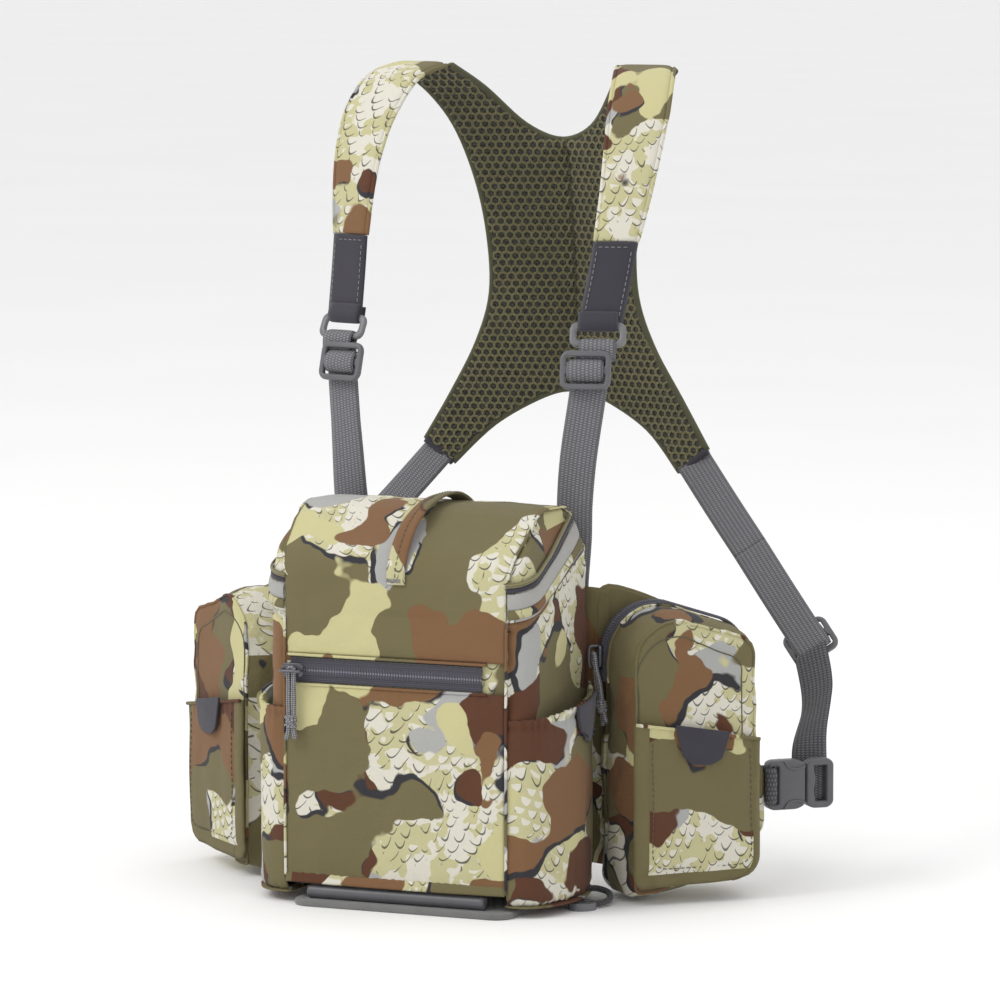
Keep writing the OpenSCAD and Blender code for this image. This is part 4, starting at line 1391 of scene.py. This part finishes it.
def slip_pocket(label, flip):
    rows, weave = [], []
    for v in (*np.linspace(0, 0.9, 34), 0.93, 0.955, 0.975, 0.99, 1.0):
        row = []
        for u in np.linspace(0, 1, 52):
            x_mid, top, low = 5 + 71 * u, 97 - 11 * u, 9.2 + 2.2 * u
            z = low + (top - low) * v
            left, right = slip_sides(z)
            x = left + (right - left) * u
            crown = (1 - abs(2 * u - 1) ** 5) * (1 - max(0, 1 - 2.2 * v) ** 4)
            fold = 2.2 * lump(x / 16, z / 26, 4.4 + 2 * flip)
            gather = slip_wave(x_mid) * math.exp(-(1 - v) * 11)
            seam = 0.7 * bell(x - left - 8.6, 0.8) + 0.6 * bell(
                right - x - 4, 0.7) + 0.6 * bell(z - low - 7, 0.8)
            y = (-53.3 - 1.3 * crown - 0.45 * max(-1.2, fold) - 0.2 * lump(x / 6, z / 13, 1.4)
                 - 0.45 * gather + seam)
            row.append((x, y + 1.2 * max(0, abs(2 * u - 1) - 0.94) * 16, z))
            weave.append((z if u < 0.5 or v > 0.2 else x, x, 0))
        rows.append(row)
    return sheet_piece(f"{label}_slip_pocket_cloth", wing(np.array(rows)), 1.3,
                       [CAMO, OLIVE, CAMO], f"{label}_side_wing", wing_way(0, -1, 0),
                       weave=weave, flip=flip, shift=panel(SLIP_PATTERN[flip]),
                       choose=slip_material, nodes=(f"{label}_slip_pocket",))


PATTERN, SLIP_PATTERN = {True: 33, False: 36.5}, {True: 41, False: 44.4}
WING_SHAPE = soften([(3, 12), (60, 12), (84, 22), (98, 26), (98, 62), (84, 74), (76, 120),
                     (60, 143), (30, 158), (3, 166)], 14)
SLIP_TAB = soften([(26.5, 96.2), (57.5, 91), (53, 77), (47, 74), (36.5, 74.6), (31, 79)], 2.2)
for label, mirrored in SIDES:
    body = f"{label}_side_wing"
    shell = pouch_half(label, mirrored, True, -51.6, -50.2, -14.3, 4.8)
    rear = pouch_half(label, mirrored, False, -2.4, -3.2, -13.7, 2.6)

    def trim(name, line, radius, material, cut=0, closed=False):
        tube(f"{label}_{name}", line, radius, material, body, closed=closed, flip=mirrored,
             shift=panel(cut))

    trim("pouch_seam", snapped(wing(pouch_ring(4.4, -50.4)), shell, mirrored, 0.35), 0.8, CAMO,
         PATTERN[mirrored], True)
    inner = [(x - 9 * min(1, max(0, (x - 34) / 30)), y, z - 9 * min(1, max(0, (z - 110) / 30)))
             for x, y, z in pouch_ring(4.9, -53.0)]
    trim("pouch_inner_seam", snapped(wing(inner), shell, mirrored, 0.05), 0.35, THREAD_DARK,
         closed=True)
    zip_strip(f"{label}_pouch_zip_cloth", wing([(x, -14, z) for x, z in ZIP_XZ]),
              [wing_way(a, 0, b) for a, b in ZIP_OUT], body, lift=-0.35, flip=mirrored,
              nodes=(f"{label}_pouch_zip",))
    for number, (y, half) in enumerate(((-21.5, shell), (-6.5, rear))):
        line = wing([(x + 0.2 * a, y, z + 0.2 * b) for (x, z), (a, b) in zip(ZIP_XZ, ZIP_OUT)])
        trim(f"pouch_zip_fold_{number}", snapped(line, half, mirrored, 0.4), 0.8, CAMO,
             PATTERN[mirrored] + 2.9)
    slip = slip_pocket(label, mirrored)
    hem = [(14.8, z) for z in np.linspace(90, 29, 20)] + arc(22.8, 27.5, 8, 180, 270, 6)
    hem += arc(62.6, 27.5, 8, 270, 360, 6) + [(70.6, z) for z in np.linspace(29, 83, 18)]
    hem = snapped(wing([(x, -57, z) for x, z in hem]), slip, mirrored, 0.1)
    stitches(f"{label}_slip_stitches", hem, wing_way(0, -1, 0), body, 2.2, 1.1, 0.26,
             THREAD_DARK, flip=mirrored)
    mouth = [(5 + 71 * u, -53.5 - 1.2 * (1 - abs(2 * u - 1) ** 5) - 0.4 * slip_wave(5 + 71 * u),
              96.8 - 11 * u) for u in np.linspace(0.01, 0.99, 60)]
    trim("slip_hem", wing(mouth), 0.95, CAMO, SLIP_PATTERN[mirrored])
    plate(f"{label}_slip_tab_cloth", SLIP_TAB, 55.9, 57.3, 0.5, on_wing, CHARCOAL, body,
          flip=mirrored, slot="tab", nodes=(f"{label}_slip_tab",))
    plate(f"{label}_wing_panel", WING_SHAPE, -2.3, 1.7, 1.2, on_wing, CAMO, body,
          flip=mirrored, shift=panel(47), nodes=(f"{label}_wing",))
    rim = resample(wing([(x, 0.3, z) for x, z in WING_SHAPE]), 160, closed=True)
    trim("wing_binding", rim, 1.3, CAMO, 47, True)
    # the cloth that hinges the wing to the pack
    rows = [spline([(69.0, 44.4, z), (75.0, 45.6 + 0.5 * math.sin(z / 9), z),
                    wing([10.0, -2.2, z - 1.5])], 4) for z in np.linspace(15, 163, 60)]
    join_cloth = sheet_piece(f"{label}_wing_join", np.array(rows), 1.6, CAMO, None, (0, -1, 0),
                             flip=mirrored, slot="camo_fabric", shift=panel(47))
    wing([6.0, 0, 90]) * MIRROR[mirrored] * MM
    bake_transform(join_cloth)

# ---------------------------------------------------------------- buckles

BUCKLE_Z = 51


def buckle_outline(corners):
    """The outline from the corners above the buckle's middle line, and their mirror below it."""
    low = [(x, BUCKLE_Z - z) for x, z in corners]
    return soften(low + [(x, BUCKLE_Z + z) for x, z in reversed(corners)], 2.5)


SOCKET = buckle_outline([(101, 12), (104, 13.5), (118, 13.5), (122.6, 11.4)])
PLUG = buckle_outline([(123.2, 11.4), (127, 13.5), (136, 13.5), (139, 11)])
PLUG_SLOT = [(128.2 + 0.5 * math.cos(k * 1.3), BUCKLE_Z - 9.6 + 19.2 * k / 8) for k in range(9)]
PLUG_SLOT += [(134.8, BUCKLE_Z + 9.6), (134.8, BUCKLE_Z - 9.6)]
for label, mirrored in SIDES:
    def moulded(outline, low, high, bevel, holes=()):
        return plate("part", outline, low, high, bevel, on_wing, PLASTIC, None, holes,
                     flip=mirrored)

    parts = [moulded(SOCKET, -6.0, 2.0, 1.4, [rounded(3.4, 21, 1.2, 105.3, BUCKLE_Z)])]
    for sign in (-1, 1):
        curve = spline([(110, 13.1 * sign), (112.5, 9.6 * sign), (117, 8.6 * sign),
                        (122, 10.0 * sign)], 5)
        parts += [tube("rib", wing([(x, y, BUCKLE_Z + z) for x, z in curve]), 0.6, PLASTIC, None,
                       flip=mirrored) for y in (-2.3, 6.3)]
    join(f"{label}_socket_shell", parts, f"{label}_side_wing",
         (f"{label}_buckle_socket",))
    parts = [moulded(PLUG, -6.0, 2.0, 1.4, [PLUG_SLOT])]
    for z, start in ((0, 111.2), (-7, 113.6), (7, 113.6)):
        prong = rounded(123.6 - start, 3.0, 1.2, (start + 123.6) / 2, BUCKLE_Z + z)
        parts.append(moulded(prong, -3.7, -0.3, 0.5))
    join(f"{label}_plug_shell", parts, f"{label}_plug", (f"{label}_buckle_plug",))
    band(f"{label}_plug_web", wing([(131.5, 3.2, BUCKLE_Z + z) for z in (10, 4, -4, -10)]),
         wing_way(1, 0, 0), 7.4, 2.0, WEB_DARK, f"{label}_plug", flip=mirrored)
    line = wing(spline([(x, y, BUCKLE_Z) for x, y in (
        (87.4, 3.9), (94, 4.6), (99.5, 7.2), (103.6, 7.4), (105.5, 4.5), (105.3, -0.5),
        (104.2, -3.3), (101.2, -3.4), (99.2, -2.0))], 5))
    band(f"{label}_socket_web", line, (0, 0, 1), 20, 2.2, WEB_DARK, f"{label}_side_wing",
         flip=mirrored, nodes=(f"{label}_socket_strap",))

# ---------------------------------------------------------------- webbing and glides

GLIDE_HOLES = [rounded(21, 5.2, 1.0, 0, 4.6), rounded(21, 5.2, 1.0, 0, -4.6)]
WEB_W = 20
GLIDE_BAR = [(0, 5.6, -0.9), (0, 3.6, 1.6), (0, 1.6, 2.5), (0, -1.6, 2.5), (0, -3.6, 1.6),
             (0, -5.6, -0.9)]


def turned(rx, rz, at):
    turn = Matrix.Rotation(math.radians(rz), 3, "Z") @ Matrix.Rotation(math.radians(rx), 3, "X")
    return lambda p: facing()(p) @ np.array(turn).T + np.array(at)


def side_glide_place(p):
    turn = np.array([REAR_ACROSS, -GLIDE_OUT, ALONG]).T
    return facing()(p) @ turn.T + (GLIDE - GLIDE_OUT * 3.4)


FRONT = spline([(61.5, 47.5, 128), (61.5, 47.6, 160), (63.4, 47.8, 188), (64.6, 45.4, 208),
                (66.5, 45.8, 232), (70, 48.9, 262), (72.6, 52, 286)], 6)
front_turn = np.radians(14 * np.clip((FRONT[:, 2] - 196) / 50, 0, 1))
FRONT_ACROSS = np.stack([np.cos(front_turn), np.sin(front_turn), 0 * front_turn], 1)
ARM, GLIDE = np.array([76, 197, 215.0]), np.array([154, 168, 122.5])
REAR_ACROSS, ALONG = unit((0.8, 0.25, 0.56)), unit(ARM - GLIDE)
GLIDE_OUT = unit(np.cross(REAR_ACROSS, ALONG))
MIDDLE = ARM - ALONG * 61.1                 # where the rear webbing is split in two
FOOT = wing([130, 9.5, 45])
SIDE = spline([GLIDE + [1.6, -2.6, -4.6], GLIDE + [8, -9, -28], FOOT + [-3, 6, 26], FOOT], 8)
side_turn = np.clip((np.linspace(0, 1, len(SIDE))[:, None] - 0.42) / 0.58, 0, 1)
SIDE_ACROSS = [unit(v) for v in REAR_ACROSS * (1 - side_turn) + wing_way(1, 0, 0) * side_turn]
FRONT_GLIDE, RING = turned(-14, 14, (70.2, 46.2, 278)), turned(-24, 16, (73.4, 56.2, 296))
RING_WAY = np.subtract(*RING(np.array([(1.0, 0, 0), (0, 0, 0)])))
GLIDE_WAY = unit(np.subtract(*FRONT_GLIDE(np.array([(1.0, 0, 0), (0, 0, 0)]))))
SAG = np.sin(np.linspace(0, math.pi, 24))[:, None] * np.array([0, 0, -0.4])
for label, mirrored in SIDES:
    def strap(name, route, across, width, thick, material, body, node=None, **more):
        """A strap that rides, or, when body holds two bodies and two points, one made without a
        body and with its transform baked into its mesh; those bodies and points are not used."""
        nodes = (f"{label}_{node}",) if node else ()
        if isinstance(body, str):
            return band(f"{label}_{name}", route, across, width, thick, material, body,
                        flip=mirrored, nodes=nodes, **more)
        first, second, start, end = body
        made = band(f"{label}_{name}", route, across, width, thick, material, None,
                    flip=mirrored, slot="webbing", nodes=nodes)
        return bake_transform(made, first, second, start * MIRROR[mirrored] * MM,
                        end * MIRROR[mirrored] * MM)

    def frame_part(name, outline, holes, half, bevel, place, material, body, node):
        plate(f"{label}_{name}", outline, -half, half, bevel, place, material, body, holes,
              flip=mirrored, nodes=(f"{label}_{node}",))

    strap("front_web", FRONT, FRONT_ACROSS, WEB_W, 2.4, WEB,
          ("pack", "harness", FRONT[13], FRONT[-3]), "front_webbing")
    frame_part("front_glide_frame", rounded(27, 21, 5), GLIDE_HOLES, 1.7, 1.0, FRONT_GLIDE,
               PLASTIC, f"{label}_front_glide", "front_glide")
    strap("front_glide_web", spline(FRONT_GLIDE(np.array(GLIDE_BAR)), 4), GLIDE_WAY, 19.6, 1.3,
          WEB, f"{label}_front_glide", spacing=1.2)
    frame_part("ring_frame", rounded(30, 14, 4.5), [rounded(23, 7, 2.2)], 1.5, 1.1, RING,
               PLASTIC_LIGHT, "harness", "strap_ring")
    wrap = [(0, -13.5, -3.2), (0, -9, -2.9), (0, -5.2, -2.6), (0, -2.6, -0.4), (0, -5.2, 2.5),
            (0, -9, 2.2), (0, -13.5, 0.2)]
    strap("ring_web", spline(RING(np.array(wrap)), 4), RING_WAY, 19.4, 1.3, WEB, "harness",
          spacing=1.2)
    wrap = [(0, 12, -1.6), (0, 5.4, -2.7), (0, 2.5, -0.3), (0, 5.4, 2.8), (0, 12, 2.6)]
    strap("ring_tab", spline(RING(np.array(wrap)), 4), RING_WAY, 21.4, 1.5, CHARCOAL, "harness",
          spacing=1.2, slot="tab")
    upper = ARM + (MIDDLE - ARM) * np.linspace(0, 1, 24)[:, None]
    lower = MIDDLE + (GLIDE - MIDDLE) * np.linspace(0, 1.12, 24)[:, None]
    strap("rear_web_upper", upper + SAG, REAR_ACROSS, WEB_W, 1.5, WEB,
          ("harness", "pack", ARM, MIDDLE), "rear_webbing")
    strap("rear_web_lower", lower + SAG, REAR_ACROSS, WEB_W, 1.5, WEB,
          ("pack", f"{label}_side_wing", MIDDLE, GLIDE))
    frame_part("side_glide_frame", rounded(27, 21, 5), GLIDE_HOLES, 1.7, 1.0, side_glide_place,
               PLASTIC, f"{label}_side_glide", "side_glide")
    over = side_glide_place(np.array(GLIDE_BAR) * [1, 1, -1])
    strap("side_glide_web", spline(over, 4), REAR_ACROSS, 19.6, 1.3, WEB,
          f"{label}_side_glide", spacing=1.2)
    strap("side_web", SIDE, SIDE_ACROSS, WEB_W, 2.4, WEB_DARK,
          (f"{label}_side_wing", f"{label}_plug", SIDE[10], SIDE[-3]), "side_strap")

# ---------------------------------------------------------------- harness

TAB = spline([(73.6, 58.6, 300), (74.4, 63, 312), (75.6, 69, 328), (76.6, 74, 344)], 8)
TAB_ACROSS = unit((math.cos(math.radians(17)), math.sin(math.radians(17)), 0))
STRAP = spline([(76.7, 74.5, 344.5), (78.5, 82, 366), (79, 91, 388), (77.5, 104, 409),
                (73, 124, 427), (66, 146, 433)], 6)
strap_turn = np.radians(np.linspace(17, 5, len(STRAP)))
STRAP_ACROSS = np.stack([np.cos(strap_turn), np.sin(strap_turn), 0 * strap_turn], 1)
STRAP_W = 24 + 10 * np.minimum(1, 1.6 * np.linspace(0, 1, len(STRAP)))


def front_side(route, across):
    """The strap's normals, toward the front."""
    n = np.array([unit(np.cross(t, s)) for t, s in zip(
        np.gradient(route, axis=0), per_row(across, len(route)))])
    return -n if n[0][1] > 0 else n


STRAP_N, TAB_N = front_side(STRAP, STRAP_ACROSS), front_side(TAB, TAB_ACROSS)


def strap_material(c):
    k = np.argmin(np.linalg.norm(STRAP - c, axis=1))
    return 1 if np.dot(c - STRAP[k], STRAP_N[k]) < -1.2 else 0


for label, mirrored in SIDES:
    cut = panel(58.3 if mirrored else 67.1)
    shoulder = band(f"{label}_shoulder_pad", STRAP, STRAP_ACROSS, STRAP_W - 1.6, 4.6,
                    [CAMO, MESH], "harness", columns=14, flip=mirrored, shift=cut,
                    choose=strap_material, nodes=(f"{label}_shoulder_strap",))
    for side in (-1, 1):
        edge = STRAP + STRAP_ACROSS * (STRAP_W[:, None] / 2 - 0.9) * side
        tube(f"{label}_shoulder_binding_{side + 1}", edge, 1.3, CAMO, "harness", flip=mirrored,
             shift=cut)
    band(f"{label}_strap_tab_cloth", TAB, TAB_ACROSS, 24, 3.0, CHARCOAL, "harness",
         spacing=1.5, flip=mirrored, slot="tab", nodes=(f"{label}_strap_tab",))
    lines = [((TAB + TAB_N * 1.55 + TAB_ACROSS * side)[4:-2], TAB_N[4:-2])
             for side in (-9.2, 9.2)]
    lines += [([TAB[k] + TAB_N[k] * 1.55 + TAB_ACROSS * s for s in np.linspace(-9.2, 9.2, 12)],
               TAB_N[k]) for k in (4, len(TAB) - 3)]
    join(f"{label}_strap_tab_stitches", [
        stitches("dashes", line, n, None, 2.0, 1.3, 0.24, flip=mirrored) for line, n in lines],
        "harness")

OUTER = spline([(84, 197, 221), (68, 198, 248), (52, 196, 277), (43, 194, 305),
                (43, 190, 338), (48, 184, 370), (57, 174, 400), (70, 162, 421),
                (82.5, 148, 432)], 6)
LOW_EDGE = spline([(68, 197.5, 208.5), (46, 206, 231), (18, 210, 247), (-0.1, 211, 251),
                   (-18, 210, 247)], 6)[:19]
SPINE = spline([(-0.1, 211, 251), (-0.1, 208, 320), (-0.1, 196, 390)], 6)[1:-1]
TOP_EDGE = spline([(-20, 187, 399), (-0.1, 192, 391), (20, 187, 399), (38, 170, 420),
                   (49, 150, 433)], 6)[6:]
INNER = np.vstack([LOW_EDGE, SPINE, TOP_EDGE])
half = np.array([o + (i - o) * np.linspace(0, 1, 26)[:, None] for o, i in zip(OUTER, INNER)])
n = normals_of(half)
if n[20, 10][1] > 0:
    n = -n
parts = []
for sign in (1, -1):
    layers = [((half + n * side) * [sign, 1, 1]).reshape(-1, 3) for side in (1.5, -1.5)]
    parts.append(piece("half", np.vstack(layers), layered(*half.shape[:2]), CAMO, None))
yoke = join("yoke_pad", parts, None, ("yoke",))
merged = applied(yoke, "REMESH", mode="VOXEL", voxel_size=0.0017)
merged.materials.clear()
merged.materials.append(CAMO)
merged.materials.append(PIT)
for face in merged.polygons:
    face.use_smooth = True
    face.material_index = 1 if face.normal.y < -0.15 else 0
dress(merged, panel(71))
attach(yoke, "harness")
YOKE, on_yoke = surface(yoke), {}


def look(x, z):
    """The place and the normal on the yoke's inner face at x and z, if it's there."""
    key = (round(x, 2), round(z, 2))
    if key not in on_yoke:
        hit, normal, _, _ = YOKE.ray_cast(Vector((x, 80, z)) * MM, Vector((0, 1, 0)))
        missed = hit is None or normal.y > -0.12
        on_yoke[key] = None if missed else (np.array(hit) / MM, np.array(normal))
    return on_yoke[key]


def strands():
    """The knit's raised strands, as a lattice of hexagons laid on the panel's inner face."""
    pitch, sides = 4.5, 6
    corner = pitch / math.sqrt(3)
    points, faces, done = [], [], set()
    for row in range(-2, 62):
        for col in range(-21, 22):
            cx = col * pitch + (pitch / 2 if row % 2 else 0)
            cz = 205 + row * corner * 1.5
            if abs(cx) > 92 or cz > 436:
                continue
            ring = [(cx + corner * math.sin(math.radians(60 * k)),
                     cz + corner * math.cos(math.radians(60 * k))) for k in range(6)]
            for a, b in zip(ring, ring[1:] + ring[:1]):
                key = tuple(sorted(((round(a[0], 1), round(a[1], 1)),
                                    (round(b[0], 1), round(b[1], 1)))))
                if key in done:
                    continue
                done.add(key)
                stations = [look(a[0] + (b[0] - a[0]) * t, a[1] + (b[1] - a[1]) * t)
                            for t in (0, 0.5, 1)]
                if any(s is None for s in stations):
                    continue
                way = stations[2][0] - stations[0][0]
                if np.linalg.norm(way) > 9:
                    continue
                base = len(points)
                for spot, n in stations:
                    side = unit(np.cross(unit(way), n))
                    for t in (TURN * q / sides for q in range(sides)):
                        points.append(spot + n * (0.5 + 0.6 * math.cos(t))
                                      + side * 0.8 * math.sin(t))
                faces.extend(tuple(base + k for k in f)
                             for f in quads(3, sides, close_columns=True))
                faces.extend(ends(3, sides, base))
    tidy_normals(piece("yoke_mesh_strands", points, faces, STRAND, "harness"))


strands()
for sign in (1, -1):
    for name, line, radius, material in (
            ("outer", OUTER, 1.8, EDGE), ("low", INNER[:19], 1.8, EDGE),
            ("top", INNER[30:], 1.8, EDGE),
            ("end", resample([OUTER[0], INNER[0]], 10), 2.3, CHARCOAL)):
        tube(f"yoke_binding_{name}_{sign + 1}", line * [sign, 1, 1], radius, material, "harness",
             sides=12)

# ---------------------------------------------------------------- kept CAD node, floor

disc = frame["nodes"]["accessory_disc"]
disc.data.materials.clear()
disc.data.materials.append(PLASTIC_DARK)
modify(disc, "BEVEL", width=0.0006, segments=3, limit_method="ANGLE")

floor = bpy.data.objects.new("floor", bpy.data.meshes.new("floor"))
floor.data.from_pydata([(-90, -90, 0), (90, -90, 0), (90, 90, 0), (-90, 90, 0)], [],
                       [(0, 1, 2, 3)])
scene.collection.objects.link(floor)
ground = Net("floor", 0.9)
floor.data.materials.append(ground.finish(ground.mix(
    ground.place().noise(3, 2), linear("F4F4F4"), linear("F8F8F8"))))
